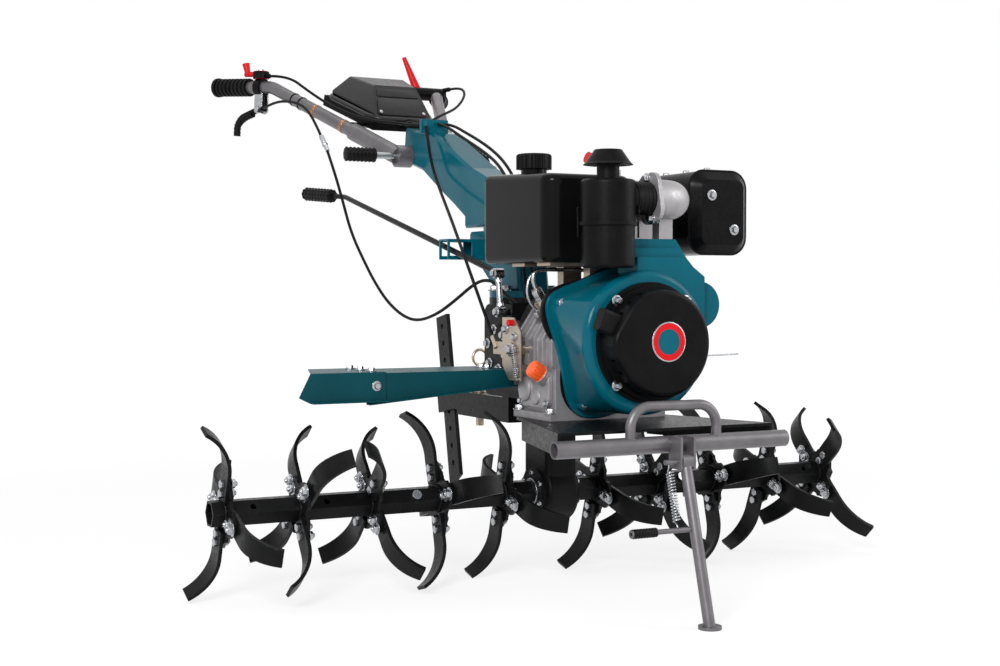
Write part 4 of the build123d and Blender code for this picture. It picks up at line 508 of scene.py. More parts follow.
@dataclass(frozen=True)
class Finish:
    """A surface finish: its colour and patches, its gloss, its relief and its worn edges.

    Attributes:
        name: The material's name.
        slot: The slot that it stands for; not used.
        colour: The main colour.
        tint: The colour of the patches.
        patch: Patches a metre.
        roughness: The mean roughness.
        spread: How far the roughness varies.
        metallic: One for bare metal.
        coat: The weight of a clear coat.
        specular: How strongly a plain surface mirrors at a right angle.
        grain: Relief bumps a metre.
        relief: The strength of the relief.
        worn: The colour that shows at worn edges.
        wear: How much of an edge is worn.
        soften: The radius at which edges catch the light, in metres.
    """

    name: str
    slot: str
    colour: Triple
    tint: Triple
    patch: float
    roughness: float
    spread: float = 0.08
    metallic: float = 0.0
    coat: float = 0.0
    specular: float = 0.5
    grain: float = 900.0
    relief: float = 0.05
    worn: Triple = (0.3, 0.29, 0.28)
    wear: float = 0.0
    soften: float = 0.0012

    def material(self) -> bpy.types.Material:
        """The finish as a material, made once.

        Returns:
            A node material on Object coordinates.
        """
        found = bpy.data.materials.get(self.name)
        if found is not None:
            return found
        made = bpy.data.materials.new(self.name)
        made.use_nodes = True
        tree = made.node_tree
        nodes, links = tree.nodes, tree.links
        shader = nodes["Principled BSDF"]
        shader.inputs["Metallic"].default_value = self.metallic
        shader.inputs["Coat Weight"].default_value = self.coat
        shader.inputs["Specular IOR Level"].default_value = self.specular
        shader.inputs["Coat Roughness"].default_value = COAT_ROUGHNESS
        place = nodes.new("ShaderNodeTexCoord").outputs["Object"]

        broad = self._noise(tree, place, self.patch, PATCH_DETAIL)
        mix = self._mix(tree, self._span(tree, broad, PATCH_SPAN, WHOLE_SPAN), self.tint)
        mix.inputs["A"].default_value = (*self.colour, 1.0)
        colour = mix.outputs["Result"]

        edge = nodes.new("ShaderNodeBevel")
        edge.samples = EDGE_SAMPLES
        edge.inputs["Radius"].default_value = self.soften
        if self.wear > 0.0:
            colour = self._worn_edges(tree, colour, edge, place)
        links.new(colour, shader.inputs["Base Color"])

        gloss = self._noise(tree, place, self.patch * GLOSS_FINENESS, GLOSS_DETAIL)
        limits = (self.roughness - self.spread, self.roughness + self.spread)
        links.new(self._span(tree, gloss, GLOSS_SPAN, limits), shader.inputs["Roughness"])
        bump = nodes.new("ShaderNodeBump")
        bump.inputs["Strength"].default_value = self.relief
        bump.inputs["Distance"].default_value = RELIEF_HEIGHT
        fine = self._noise(tree, place, self.grain, GRAIN_DETAIL)
        links.new(fine, bump.inputs["Height"])
        links.new(edge.outputs["Normal"], bump.inputs["Normal"])
        links.new(bump.outputs["Normal"], shader.inputs["Normal"])
        return made

    def _noise(self, tree: Tree, place: Socket, scale: float, detail: float) -> Socket:
        """A noise value on the piece's own coordinates.

        Args:
            tree: The material's nodes.
            place: The coordinates.
            scale: Bumps a metre.
            detail: Layers of finer noise.

        Returns:
            The noise's value.
        """
        noise = tree.nodes.new("ShaderNodeTexNoise")
        noise.inputs["Scale"].default_value = scale
        noise.inputs["Detail"].default_value = detail
        tree.links.new(place, noise.inputs["Vector"])
        return noise.outputs["Fac"]

    def _span(self, tree: Tree, value: Socket, source: Pair, target: Pair) -> Socket:
        """A value taken from one range to another, clamped.

        Args:
            tree: The material's nodes.
            value: The value to take over.
            source: The range that it comes in.
            target: The range that it leaves in.

        Returns:
            The new value.
        """
        span = tree.nodes.new("ShaderNodeMapRange")
        limits = ("From Min", "From Max", "To Min", "To Max")
        for name, limit in zip(limits, (*source, *target)):
            span.inputs[name].default_value = limit
        tree.links.new(value, span.inputs["Value"])
        return span.outputs["Result"]

    def _mix(self, tree: Tree, share: Socket, other: Triple) -> bpy.types.Node:
        """A mix towards another colour by a share, its first colour still to be given.

        Args:
            tree: The material's nodes.
            share: How much of the other colour shows.
            other: The other colour.

        Returns:
            The mixing node.
        """
        mix = tree.nodes.new("ShaderNodeMix")
        mix.data_type = "RGBA"
        mix.inputs["B"].default_value = (*other, 1.0)
        tree.links.new(share, mix.inputs["Factor"])
        return mix

    def _worn_edges(
        self, tree: Tree, colour: Socket, edge: bpy.types.Node, place: Socket
    ) -> Socket:
        """The worn colour where the softened normal leaves the true one, broken up by noise.

        Args:
            tree: The material's nodes.
            colour: The colour of the whole surface.
            edge: The node that softens the edges.
            place: The coordinates.

        Returns:
            The colour with its worn edges.
        """
        facing = tree.nodes.new("ShaderNodeNewGeometry")
        along = tree.nodes.new("ShaderNodeVectorMath")
        along.operation = "DOT_PRODUCT"
        tree.links.new(edge.outputs["Normal"], along.inputs[0])
        tree.links.new(facing.outputs["Normal"], along.inputs[1])
        rim = self._span(tree, along.outputs["Value"], EDGE_SPAN, WHOLE_SPAN)
        chips = self._noise(tree, place, CHIP_SCALE, CHIP_DETAIL)
        chipped = (CHIP_START - CHIP_SHIFT * self.wear, CHIP_END)
        both = tree.nodes.new("ShaderNodeMath")
        both.operation = "MULTIPLY"
        tree.links.new(rim, both.inputs[0])
        tree.links.new(self._span(tree, chips, chipped, WHOLE_SPAN), both.inputs[1])
        mix = self._mix(tree, both.outputs["Value"], self.worn)
        tree.links.new(colour, mix.inputs["A"])
        return mix.outputs["Result"]


TEAL = Finish(
    "teal_paint", "teal", (0.0006, 0.088, 0.126), (0.0008, 0.102, 0.143),
    patch=9.0, roughness=0.15, spread=0.04, coat=0.02, specular=0.11, grain=700.0, relief=0.03,
    worn=(0.012, 0.16, 0.21), wear=0.25)
# The teal paint made darker for the fender and its extension: painted shade that stands in for the
# shadow falling on them, not a different paint.
SHADED_FENDER_TEAL = Finish(
    "teal_paint_painted_shade", "teal", (0.0006, 0.044, 0.057), (0.0008, 0.052, 0.067),
    patch=12.0, roughness=0.40, spread=0.05, coat=0.02, specular=0.11, grain=700.0, relief=0.03,
    worn=(0.01, 0.10, 0.13), wear=0.3)
TUBE_GREY = Finish(
    "grey_metallic_paint", "grey", (0.130, 0.122, 0.131), (0.158, 0.149, 0.159),
    patch=30.0, roughness=0.36, spread=0.06, metallic=0.55, grain=1600.0, wear=0.2)
TINE_BLACK = Finish(
    "tine_black_paint", "black", (0.0034, 0.0036, 0.0040), (0.006, 0.006, 0.0065),
    patch=26.0, roughness=0.36, spread=0.10, specular=0.10, grain=800.0, relief=0.10,
    worn=(0.07, 0.065, 0.064), wear=0.35)
CASE_BLACK = Finish(
    "casting_black_paint", "black", (0.0034, 0.0036, 0.0040), (0.007, 0.007, 0.0075),
    patch=22.0, roughness=0.40, spread=0.10, specular=0.09, grain=420.0, relief=0.28,
    worn=(0.05, 0.048, 0.046), wear=0.25)
MUFFLER_BLACK = Finish(
    "heat_black_paint", "black", (0.0028, 0.0028, 0.0032), (0.005, 0.005, 0.0055),
    patch=20.0, roughness=0.30, specular=0.07, grain=600.0, relief=0.06,
    worn=(0.03, 0.03, 0.03), wear=0.2)
TANK_BLACK = Finish(
    "tank_gloss_black", "gloss_black", (0.0030, 0.0028, 0.0028), (0.005, 0.0046, 0.0045),
    patch=10.0, roughness=0.14, spread=0.04, coat=0.04, specular=0.07, grain=250.0, relief=0.012)
PLASTIC = Finish(
    "moulded_black_plastic", "plastic", (0.0030, 0.0030, 0.0034), (0.005, 0.005, 0.0055),
    patch=24.0, roughness=0.36, specular=0.07, grain=1500.0, relief=0.10)
HOOD_PLASTIC = Finish(
    "satin_hood_plastic", "plastic", (0.011, 0.0105, 0.0118), (0.016, 0.0155, 0.017),
    patch=24.0, roughness=0.36, specular=0.28, grain=1500.0, relief=0.10)
RUBBER = Finish(
    "black_rubber", "rubber", (0.0040, 0.0038, 0.0038), (0.007, 0.0066, 0.0066),
    patch=40.0, roughness=0.50, specular=0.10, grain=1300.0, relief=0.16)
CAST = Finish(
    "raw_cast_aluminium", "cast", (0.36, 0.345, 0.356), (0.28, 0.270, 0.280),
    patch=26.0, roughness=0.44, spread=0.10, metallic=0.6, grain=520.0, relief=0.35,
    worn=(0.58, 0.565, 0.57), wear=0.5)
ZINC = Finish(
    "yellow_zinc_plate", "zinc", (0.46, 0.385, 0.285), (0.40, 0.34, 0.30),
    patch=60.0, roughness=0.34, metallic=0.9)
BRIGHT = Finish(
    "bright_steel", "steel", (0.44, 0.45, 0.47), (0.35, 0.36, 0.38),
    patch=70.0, roughness=0.27, metallic=1.0, grain=1200.0, relief=0.04)
COPPER = Finish(
    "copper_washed_steel", "zinc", (0.42, 0.20, 0.10), (0.34, 0.17, 0.09),
    patch=60.0, roughness=0.32, metallic=0.9)
RED = Finish(
    "red_plastic", "red", (0.60, 0.006, 0.010), (0.54, 0.005, 0.008),
    patch=30.0, roughness=0.32, spread=0.06, specular=0.15, grain=1400.0, relief=0.04)
ORANGE = Finish(
    "orange_plastic", "orange", (0.90, 0.12, 0.012), (0.80, 0.095, 0.010),
    patch=30.0, roughness=0.38, spread=0.06, grain=1400.0, relief=0.04)

NODE_FINISHES: dict[Finish, tuple[str, ...]] = {
    TEAL: ("blower_shroud", "steering_column", "column_base"),
    # The fender and its extension take the darker teal, which is painted shade.
    SHADED_FENDER_TEAL: ("fender", "fender_extension"),
    TUBE_GREY: (
        "front_bumper", "stand_leg", "stand_bracket", "handlebar_left", "handlebar_right",
        "stand_pedal"),
    TINE_BLACK: (
        "tine_tube_right_inner", "tine_tube_right_outer", "tine_tube_left_inner",
        "tine_tube_left_outer", "tine_blades_right_inner", "tine_blades_right_outer",
        "tine_blades_left_inner", "tine_blades_left_outer", "output_shaft", "drag_stake",
        "hitch_box", "stake_holder", "fender_bracket", "engine_plate", "gear_lever"),
    CASE_BLACK: ("final_drive", "gear_case"),
    MUFFLER_BLACK: ("muffler",),
    TANK_BLACK: ("fuel_tank",),
    PLASTIC: (
        "recoil_starter", "fuel_cap", "air_cleaner", "rain_cap", "console_tray", "clutch_lever"),
    HOOD_PLASTIC: ("console_cover",),
    RUBBER: (
        "handgrip_right", "handgrip_left", "starter_grip", "intake_hose",
        "control_cables_upper", "control_cables_lower"),
    CAST: ("engine_block", "cylinder_head", "intake_elbow"),
    ZINC: ("governor_plate", "injection_pump", "tank_bracket", "hitch_pin"),
    BRIGHT: ("tilt_clamp", "swivel_lever", "stand_spring", "tine_pins"),
    RED: ("throttle_lever", "reverse_lever", "decompression_lever"),
    ORANGE: ("oil_filler",),
}


def shown(name: str, shell: Shell, finish: Finish, crease: float | None) -> Thing:
    """A shell as a smooth-shaded object in the scene, at the origin.

    Args:
        name: The object's name.
        shell: Its surface.
        finish: Its finish.
        crease: Edges that turn more than this many degrees stay sharp; with none, no edge does.

    Returns:
        The object.
    """
    made = shell.mesh(name)
    made.polygons.foreach_set("use_smooth", np.ones(len(made.polygons), dtype=bool))
    if crease is not None:
        made.set_sharp_from_angle(angle=math.radians(crease))
    made.materials.append(finish.material())
    thing = bpy.data.objects.new(name, made)
    bpy.context.scene.collection.objects.link(thing)
    LOG.info("%s: %d points", name, len(made.vertices))
    return thing


def piece(
    name: str, shell: Shell, finish: Finish, body: Body, crease: float = CREASE
) -> Thing:
    """A new piece of the machine, riding on its body.

    Args:
        name: The piece's name.
        shell: Its surface.
        finish: Its finish.
        body: The body that carries it.
        crease: Edges that turn more than this many degrees stay sharp.

    Returns:
        The object, at the origin.
    """
    thing = shown(name, shell, finish, crease)
    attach(thing, body.value)
    return thing


@dataclass(frozen=True)
class Hexagon:
    """A hexagon head or nut.

    Attributes:
        flats: Width across the flats.
        height: Its height.
        washer: The thickness of the washer under it, or nothing.
    """

    flats: float
    height: float
    washer: float = 0.0

    def nets(self, seat: Array, way: Array) -> list[Array]:
        """The head turned with six sides, and the washer turned round.

        Args:
            seat: The middle of the face it sits on.
            way: The direction away from that face.

        Returns:
            The nets of head and washer.
        """
        corner = self.flats / 2 / math.cos(math.pi / 6)
        head = HEAD_SHAPE * [corner, self.height] + [0.0, self.washer * WASHER_LIFT]
        nets = [spun(head, seat, way, 6)]
        if self.washer > 0.0:
            nets.append(spun(WASHER_SHAPE * [self.flats, self.washer], seat, way, 18))
        return nets


def bolts(shell: Shell, seats: list[Array], way: Array, head: Hexagon) -> None:
    """Adds a bolt head on each seat.

    Args:
        shell: The shell that takes them.
        seats: The middles of the faces they sit on.
        way: The direction away from those faces.
        head: The head's sizes.
    """
    for seat in seats:
        for net in head.nets(seat, way):
            shell.add(net)


def round_seats(
    middle: Array, way: Array, radius: float, count: int, start: float = 0.0
) -> list[Array]:
    """Points evenly turned about an axis, for a circle of bolts.

    Args:
        middle: The circle's middle.
        way: Its axis.
        radius: Its radius.
        count: How many points it has.
        start: The first point's angle, in degrees.

    Returns:
        The points.
    """
    turn = math.radians(start) + full_turn(count)
    return list(middle + radius * circle(turn, *square_axes(unit(way)[None, :])))


@dataclass
class TineRotor:
    """The tine rotor's bolts, nuts and weld beads."""

    first_hub: float = 95.0
    hub_pitch: float = 126.0
    plate_half: float = 3.0
    blade_thick: float = 6.0
    bolt_radii: Pair = (36.0, 53.0)
    head: Hexagon = Hexagon(13.0, 5.5)
    nut: Hexagon = Hexagon(13.0, 6.5, 1.6)
    stub: Profile = ((4.0, 6.0), (4.0, 10.0), (3.2, 11.0))
    phases: tuple[tuple[float, ...], tuple[float, ...]] = (
        (15.0, -15.0, 46.0, 52.0, 22.0),
        (15.0, 48.0, -15.0, 20.0, 46.0),
    )
    bends: tuple[int, ...] = (-1, 1, -1, 1)
    paired_hub: int = 3
    paired_bends: tuple[int, ...] = (1, -1, -1, 1)
    bead_offset: float = 4.2
    bead_reach: float = 21.6
    bead_sway: float = 0.7
    bead_radius: float = 3.0
    bead_lump: float = 0.5
    bead_lumps: int = 24
    tube_flats: int = 6

    def build(self) -> None:
        """Makes the fasteners and beads of both sides."""
        for side, label, phases in zip(BOTH_SIDES, ("right", "left"), self.phases):
            self._fasteners(side, label, phases)
            self._beads(side, label)

    def _hub(self, side: int, number: int) -> float:
        """How far across a hub stands."""
        return side * (self.first_hub + number * self.hub_pitch)

    def _fasteners(self, side: int, label: str, phases: tuple[float, ...]) -> None:
        """Two bolts and nuts for each blade: heads on the blade, nuts behind the plate.

        Args:
            side: Minus one on the right, one on the left.
            label: That side's name.
            phases: The angle of each hub's first blade.
        """
        shell = Shell()
        for number, phase in enumerate(phases):
            hub = self._hub(side, number)
            paired = side < 0 and number == self.paired_hub
            for quarter, bend in enumerate(self.paired_bends if paired else self.bends):
                turn = math.radians(phase + 90.0 * quarter)
                way = np.array([0.0, -math.sin(turn), math.cos(turn)])
                front = at(hub + bend * (self.plate_half + self.blade_thick), 0, 0)
                back = at(hub - bend * self.plate_half, 0, 0)
                for radius in self.bolt_radii:
                    seat = back + way * radius
                    bolts(shell, [front + way * radius], ACROSS * bend, self.head)
                    bolts(shell, [seat], -ACROSS * bend, self.nut)
                    shell.add(spun(self.stub, seat, -ACROSS * bend, 10))
        piece(f"blade_bolts_{label}", shell, BRIGHT, Body.ROTOR)

    def _beads(self, side: int, label: str) -> None:
        """A lumpy weld bead on both faces of each plate: a ring of waving radius round the tube.

        Args:
            side: Minus one on the right, one on the left.
            label: That side's name.
        """
        shell = Shell()
        turn = full_turn(72)
        reach = self.bead_reach + self.bead_sway * np.cos(self.tube_flats * turn)
        for number in range(len(self.phases[0])):
            lumps = self.bead_radius + self.bead_lump * np.sin(self.bead_lumps * turn + number)
            for face in BOTH_SIDES:
                place = np.full_like(turn, self._hub(side, number) + face * self.bead_offset)
                ring = np.stack([place, reach * np.cos(turn), reach * np.sin(turn)], axis=1)
                shell.add(swept_ring(AXLE + ring, lumps, WIRE_SIDES), ring=True)
        piece(f"weld_beads_{label}", shell, TINE_BLACK, Body.ROTOR, SOFT_CREASE)


@dataclass
class FrontStand:
    """The stand's return spring and the pedal's rubber sleeve."""

    pivot_y: float = -424.0
    pivot_z: float = 95.0
    rake: float = 15.2
    pedal_drop: float = 104.0
    pedal_reach: float = 115.0
    sleeve_length: float = 45.0
    sleeve_radius: float = 7.4
    sleeve_ribs: int = 9
    sleeve_groove: float = 0.7
    spring_x: float = -31.0
    spring_top: float = 5.0
    spring_short: float = 4.5
    hook_length: float = 9.0
    hook_bend: float = 4.0
    hook_aside: float = 1.5
    coil_radius: float = 5.4
    wire: float = 1.1
    turns: int = 17

    def way(self) -> Array:
        """The leg's direction, from the pivot to the foot."""
        lean = math.radians(self.rake)
        return np.array([0.0, -math.sin(lean), -math.cos(lean)])

    def build(self) -> None:
        """Makes the spring and the sleeve."""
        pivot = at(0, self.pivot_y, self.pivot_z)
        self._spring(pivot)
        end = pivot + self.way() * self.pedal_drop - ACROSS * self.pedal_reach
        inner, outer = end + ACROSS * (self.sleeve_length + 1), end - ACROSS * 0.6
        sleeve = ribbed_grip(
            inner, outer, self.sleeve_radius, self.sleeve_ribs, self.sleeve_groove)
        piece("pedal_sleeve", Shell().add(sleeve), RUBBER, Body.STAND)

    def _spring(self, pivot: Array) -> None:
        """A close coil between two hooked ends, running from the frame to the leg.

        Args:
            pivot: The stand's pivot.
        """
        way = self.way()
        line = pivot + ACROSS * self.spring_x
        high = line + way * self.spring_top
        low = line + way * (self.pedal_drop - self.spring_short)
        hook = way * self.hook_length
        turns = coil(high + hook, low - hook, self.coil_radius, self.turns, 18)
        bend, aside = way * self.hook_bend, square_axes(way[None, :])[0][0] * self.hook_aside
        upper = through([high - way, high + bend + aside, turns[0]], 6)
        lower = through([turns[-1], low - bend + aside, low + way], 6)
        path = np.vstack([upper[:-1], turns, lower[1:]])
        shell = Shell().add(swept(path, self.wire, WIRE_SIDES))
        thing = shown("return_spring", shell, BRIGHT, None)
        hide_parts("stand_spring")
        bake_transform(thing)


@dataclass
class ControlCables:
    """The sheathed cables from the hand levers over the column to the engine and the gear case.

    A cable's line is a smooth spline whose control points are its route's points, and its tube is
    a round section carried along points read from that spline.
    """

    radius: float = 3.0
    sides: int = 10
    crease: float = 50.0
    clutch_upper: Route = (
        (-226, 930, 769), (-221, 867, 777), (-205, 806, 774), (-191, 752, 758), (-186, 706, 724),
        (-184, 668, 686))
    clutch_lower: Route = (
        (-182, 634, 650), (-179, 603, 606), (-175, 568, 546), (-170, 532, 476), (-164, 477, 417),
        (-158, 434, 373), (-151, 385, 334), (-143, 327, 307), (-134, 276, 299), (-123, 212, 314),
        (-112, 158, 340), (-102, 106, 368), (-96, 74, 377), (-91, 42, 373), (-86, 18, 356),
        (-82, -6, 341))
    throttle_upper: Route = (
        (-209, 932, 844), (-182, 881, 840), (-158, 812, 798), (-134, 744, 761), (-108, 676, 734),
        (-82, 612, 717), (-59, 553, 708), (-43, 506, 699), (-38, 474, 698))
    throttle_lower: Route = (
        (-40, 448, 690), (-44, 430, 664), (-47, 412, 626), (-48, 383, 580), (-96, 208, 489),
        (-122, 112, 434), (-128, 33, 350), (-128, -24, 278))
    engine_upper: Route = (
        (-12, 641, 718), (-12, 598, 722), (-12, 549, 713), (-12, 506, 699), (-12, 474, 698))
    engine_lower: Route = (
        (-12, 448, 698), (-12, 410, 690), (-11, 360, 669), (-10, 300, 646), (-9, 240, 622),
        (-10, 184, 596), (-13, 136, 560), (-18, 98, 515), (-24, 70, 460), (-29, 48, 402),
        (-33, 30, 358))
    lamp_upper: Route = (
        (4, 641, 718), (4, 598, 722), (4, 549, 713), (4, 506, 699), (4, 474, 698))
    lamp_lower: Route = (
        (4, 448, 698), (4, 410, 692), (5, 360, 674), (5, 300, 653), (5, 240, 629), (3, 184, 601),
        (0, 136, 565), (-4, 98, 520), (-9, 70, 464), (-13, 48, 406), (-17, 30, 360))
    reverse: Route = (
        (246, 942, 843), (254, 898, 843), (248, 856, 826), (224, 820, 802), (190, 784, 778),
        (152, 748, 762), (116, 722, 748), (94, 709, 737))
    upper_node: str = "control_cables_upper"
    lower_node: str = "control_cables_lower"
    adjuster: float = 50.0
    adjuster_nut: Hexagon = Hexagon(11.0, 5.0)
    nut_share: float = 0.55
    barrel_short: float = 0.45
    barrel_radius: float = 5.4
    barrel_ribs: int = 5
    barrel_groove: float = 0.9
    tail_share: float = 0.5
    tail_radius: float = 4.6
    end_span: Pair = (24.5, 2.0)
    end_radius: float = 5.3
    end_sides: int = 20

    def build(self) -> None:
        """Lays every cable, sleeves the ends at the levers and adds the clutch's adjuster."""
        adjuster = self._adjuster()
        self._ends()
        for label, upper, lower, far_end, fittings in (
            ("clutch", self.clutch_upper, self.clutch_lower, "fitting", [adjuster]),
            ("throttle", self.throttle_upper, self.throttle_lower, "object", []),
            ("engine", self.engine_upper, self.engine_lower, "object", []),
            ("lamp", self.lamp_upper, self.lamp_lower, "object", []),
        ):
            above, below = (Body.HANDLEBARS, Body.COLUMN), (Body.COLUMN, Body.CHASSIS)
            self._cable(f"{label}_cable_upper", upper, self.upper_node, above)
            self._cable(f"{label}_cable_lower", lower, self.lower_node, below)
        self._cable(
            "reverse_cable", self.reverse, self.upper_node, (Body.HANDLEBARS,))

    def _adjuster(self) -> Thing:
        """The clutch cable's adjuster: a ribbed barrel, a sleeve and a lock nut.

        Returns:
            The adjuster.
        """
        end, before = at(*self.clutch_upper[-1]), at(*self.clutch_upper[-2])
        tail = end + unit(end - before) * self.adjuster
        run = tail - end
        barrel = ribbed_grip(
            end, tail - run * self.barrel_short, self.barrel_radius, self.barrel_ribs,
            self.barrel_groove)
        shell = Shell().add(barrel)
        shell.add(collar(end + run * self.tail_share, tail, self.tail_radius, self.end_sides))
        bolts(shell, [end + run * self.nut_share], unit(run), self.adjuster_nut)
        return piece("clutch_adjuster", shell, BRIGHT, Body.COLUMN)

    def _ends(self) -> None:
        """The plastic sleeves that the cables leave the hand levers by."""
        ends = Shell()
        behind, ahead = self.end_span
        for route in (self.clutch_upper, self.throttle_upper, self.reverse):
            leave = at(*route[0])
            way = unit(at(*route[1]) - leave)
            start, end = leave - way * behind, leave + way * ahead
            ends.add(collar(start, end, self.end_radius, self.end_sides))
        piece("cable_ends", ends, PLASTIC, Body.HANDLEBARS)

    def _line(self, name: str, route: Route) -> Array:
        """Points along the spline that has the route's points as its control points.

        Args:
            name: The spline's name.
            route: The route's points.

        Returns:
            The points, in millimetres.
        """
        data = bpy.data.curves.new(name, "CURVE")
        data.dimensions = "3D"
        data.resolution_u = 8
        spline = data.splines.new("NURBS")
        points = np.array([at(*point) for point in route]) * MM
        spline.points.add(len(points) - 1)
        spline.points.foreach_set("co", np.column_stack([points, np.ones(len(points))]).ravel())
        spline.order_u = 3
        spline.use_endpoint_u = True
        holder = bpy.data.objects.new(name, data)
        line = bpy.data.meshes.new_from_object(holder)
        found = np.empty(len(line.vertices) * 3)
        line.vertices.foreach_get("co", found)
        bpy.data.objects.remove(holder)
        bpy.data.meshes.remove(line)
        bpy.data.curves.remove(data)
        return found.reshape(-1, 3) / MM

    def _cable(
        self,
        name: str,
        route: Route,
        node: str,
        bodies: tuple[Body, ...],
    ) -> None:
        """One cable as a tube along its spline: left where it lies when its ends sit on two
        bodies, else riding on its one body.

        Args:
            name: The cable's name.
            route: Its route's points.
            node: The solid that it stands for.
            bodies: The body at its start, and the one at its end where that is another.
        """
        path = self._line(f"{name}_line", route)
        shell = Shell().add(swept(path, self.radius, self.sides))
        thing = shown(name, shell, RUBBER, self.crease)
        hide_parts(node)
        if len(bodies) > 1:
            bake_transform(thing)
        else:
            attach(thing, bodies[0].value)


@dataclass
class Engine:
    """Fasteners, pipes and covers of the engine, its shroud, starter, intake and silencer."""

    crank_z: float = 274.0
    shroud_front: float = -318.0
    starter_flange: float = 10.0
    starter_front: float = -372.0
    starter_bolt_x: float = 65.0
    starter_bolt_z: Pair = (342.0, 208.0)
    starter_bolt: Hexagon = Hexagon(10.0, 9.5, 1.5)
    ears: Route = ((-104, -206, 337), (-60, -206, 170), (104, -206, 205))
    ear_length: float = 22.0
    ear_radius: float = 9.5
    ear_bolt: Hexagon = Hexagon(10.0, 5.5, 1.5)
    gasket_radii: tuple[float, ...] = (132, 140, 128, 120, 116, 138, 106, 106, 136, 123, 123, 128)
    gasket_overhang: float = 1.5
    gasket_y: float = -191.0
    gasket_thick: float = 9.5
    gasket_points: int = 96
    rod_ends: tuple[Triple, Triple] = ((100, -150, 240), (302, -150, 244))
    rod_radius: float = 1.6

    badge_shift: Pair = (4.0, 3.0)
    badge_rim: Profile = ((31.5, -0.6), (31.5, 0.8), (30.6, 1.4), (29.6, 1.4), (29.4, 0.2))
    badge_ring: Profile = ((29.8, 0.3), (29.6, 1.1), (20.2, 1.1), (20.0, 0.3))
    badge_disc: Profile = ((20.4, 0.4), (20.2, 1.2), (2.0, 1.2))
    badge_sides: int = 56

    cover: Triple = (-102.0, -138.0, 193.0)
    cover_size: Pair = (104.0, 60.0)
    cover_corner: float = 16.0
    cover_thick: float = 8.0
    cover_bolt_reach: Pair = (44.0, 22.0)
    cover_bolt: Hexagon = Hexagon(8.0, 4.5, 1.2)
    large_boss: Triple = (-109.0, -112.0, 192.0)
    large_boss_profile: Profile = ((21.0, 0.0), (20.0, 5.0), (18.0, 6.5), (6.0, 6.5))
    small_boss: Triple = (-109.0, -148.0, 180.0)
    small_boss_profile: Profile = ((13.0, 0.0), (12.0, 4.0), (10.0, 5.0), (4.0, 5.0))
    filler: Triple = (-102.0, -172.0, 212.0)
    side_lean: float = 32.0
    neck_length: float = 15.6
    neck_radius: float = 15.8
    plug_span: Pair = (17.0, 36.6)
    plug_radius: float = 14.6
    plug_ribs: int = 12
    plug_groove: float = 1.6
    base_bolt_x: float = 107.0
    base_bolt_y: Pair = (-190.0, -84.0)
    block_flange_top: float = 155.0
    base_bolt: Hexagon = Hexagon(13.0, 7.0, 2.0)
    rocker_top: float = 535.0
    rocker_bolt_x: float = 71.0
    rocker_bolt_y: Pair = (-165.0, -110.0)
    rocker_bolt: Hexagon = Hexagon(13.0, 8.0, 2.0)
    post: Pair = (50.0, -137.0)
    post_height: float = 29.0
    post_radius: float = 9.6
    post_foot: Pair = (34.0, 26.0)

    pump: Triple = (-80.0, -150.0, 308.0)
    pump_height: float = 62.0
    union_drop: float = 14.0
    union_foot: float = 40.0
    union_lap: float = 2.0
    union_nut: Hexagon = Hexagon(17.0, 12.0)
    delivery: Route = (
        (-117, -150, 374), (-114, -150, 387), (-100, -150, 392), (-60, -150, 392),
        (-10, -150, 392), (33, -150, 393))
    delivery_radius: float = 3.2
    spill: Route = (
        (-96, -128, 322), (-112, -128, 340), (-116, -128, 362), (-108, -128, 384),
        (-88, -128, 393), (-60, -128, 395))
    spill_radius: float = 2.4
    spill_seat: Triple = (-94.0, -128.0, 314.0)
    spill_nut: Hexagon = Hexagon(12.0, 10.0)

    governor_face: float = -129.0
    governor_seats: Profile = ((-105.0, 279.0), (-74.0, 292.0), (-112.0, 224.0))
    governor_bolt: Hexagon = Hexagon(10.0, 5.0, 1.4)
    governor_pivot: Triple = (-132.0, -97.0, 258.0)
    governor_nut: Hexagon = Hexagon(14.0, 7.0, 1.8)
    spring_ends: tuple[Triple, Triple] = ((-133, -109, 262), (-133, -121, 212))
    spring_radius: float = 4.2
    spring_wire: float = 0.9
    spring_turns: int = 15
    spring_hooks: tuple[Route, Route] = (
        ((-129, -109, 264), (-133, -109, 266), (-133.5, -109, 260)),
        ((-129, -121, 209), (-133, -121, 208), (-133.5, -121, 213)))
    hook_wire: float = 1.0
    stop_screw: Pair = (-98.0, 303.0)
    stop_cap_length: float = 9.0

    canister: Triple = (-65.0, -302.0, 463.0)
    canister_radius: float = 44.0
    duct_z: float = 505.0
    duct_flange: float = 12.0
    hose_start: float = 40.0
    hose_radius: float = 27.0
    hose_ribs: int = 5
    hose_groove: float = 2.4
    flange_lean: float = -12.0
    flange_reach: float = 33.0
    flange_thick: float = 7.0
    flange_bolt: Hexagon = Hexagon(11.0, 6.0, 1.6)
    flange_nut: Hexagon = Hexagon(11.0, 7.0, 1.6)
    clip_turns: Pair = (152.0, 332.0)
    clip_size: Pair = (11.0, 36.0)
    clip_thick: float = 2.6
    clip_hook: Route = ((12, 7, 1), (22, 7, 2), (26, 0, 1), (22, -7, 2), (12, -7, 1))
    clip_wire: float = 1.3

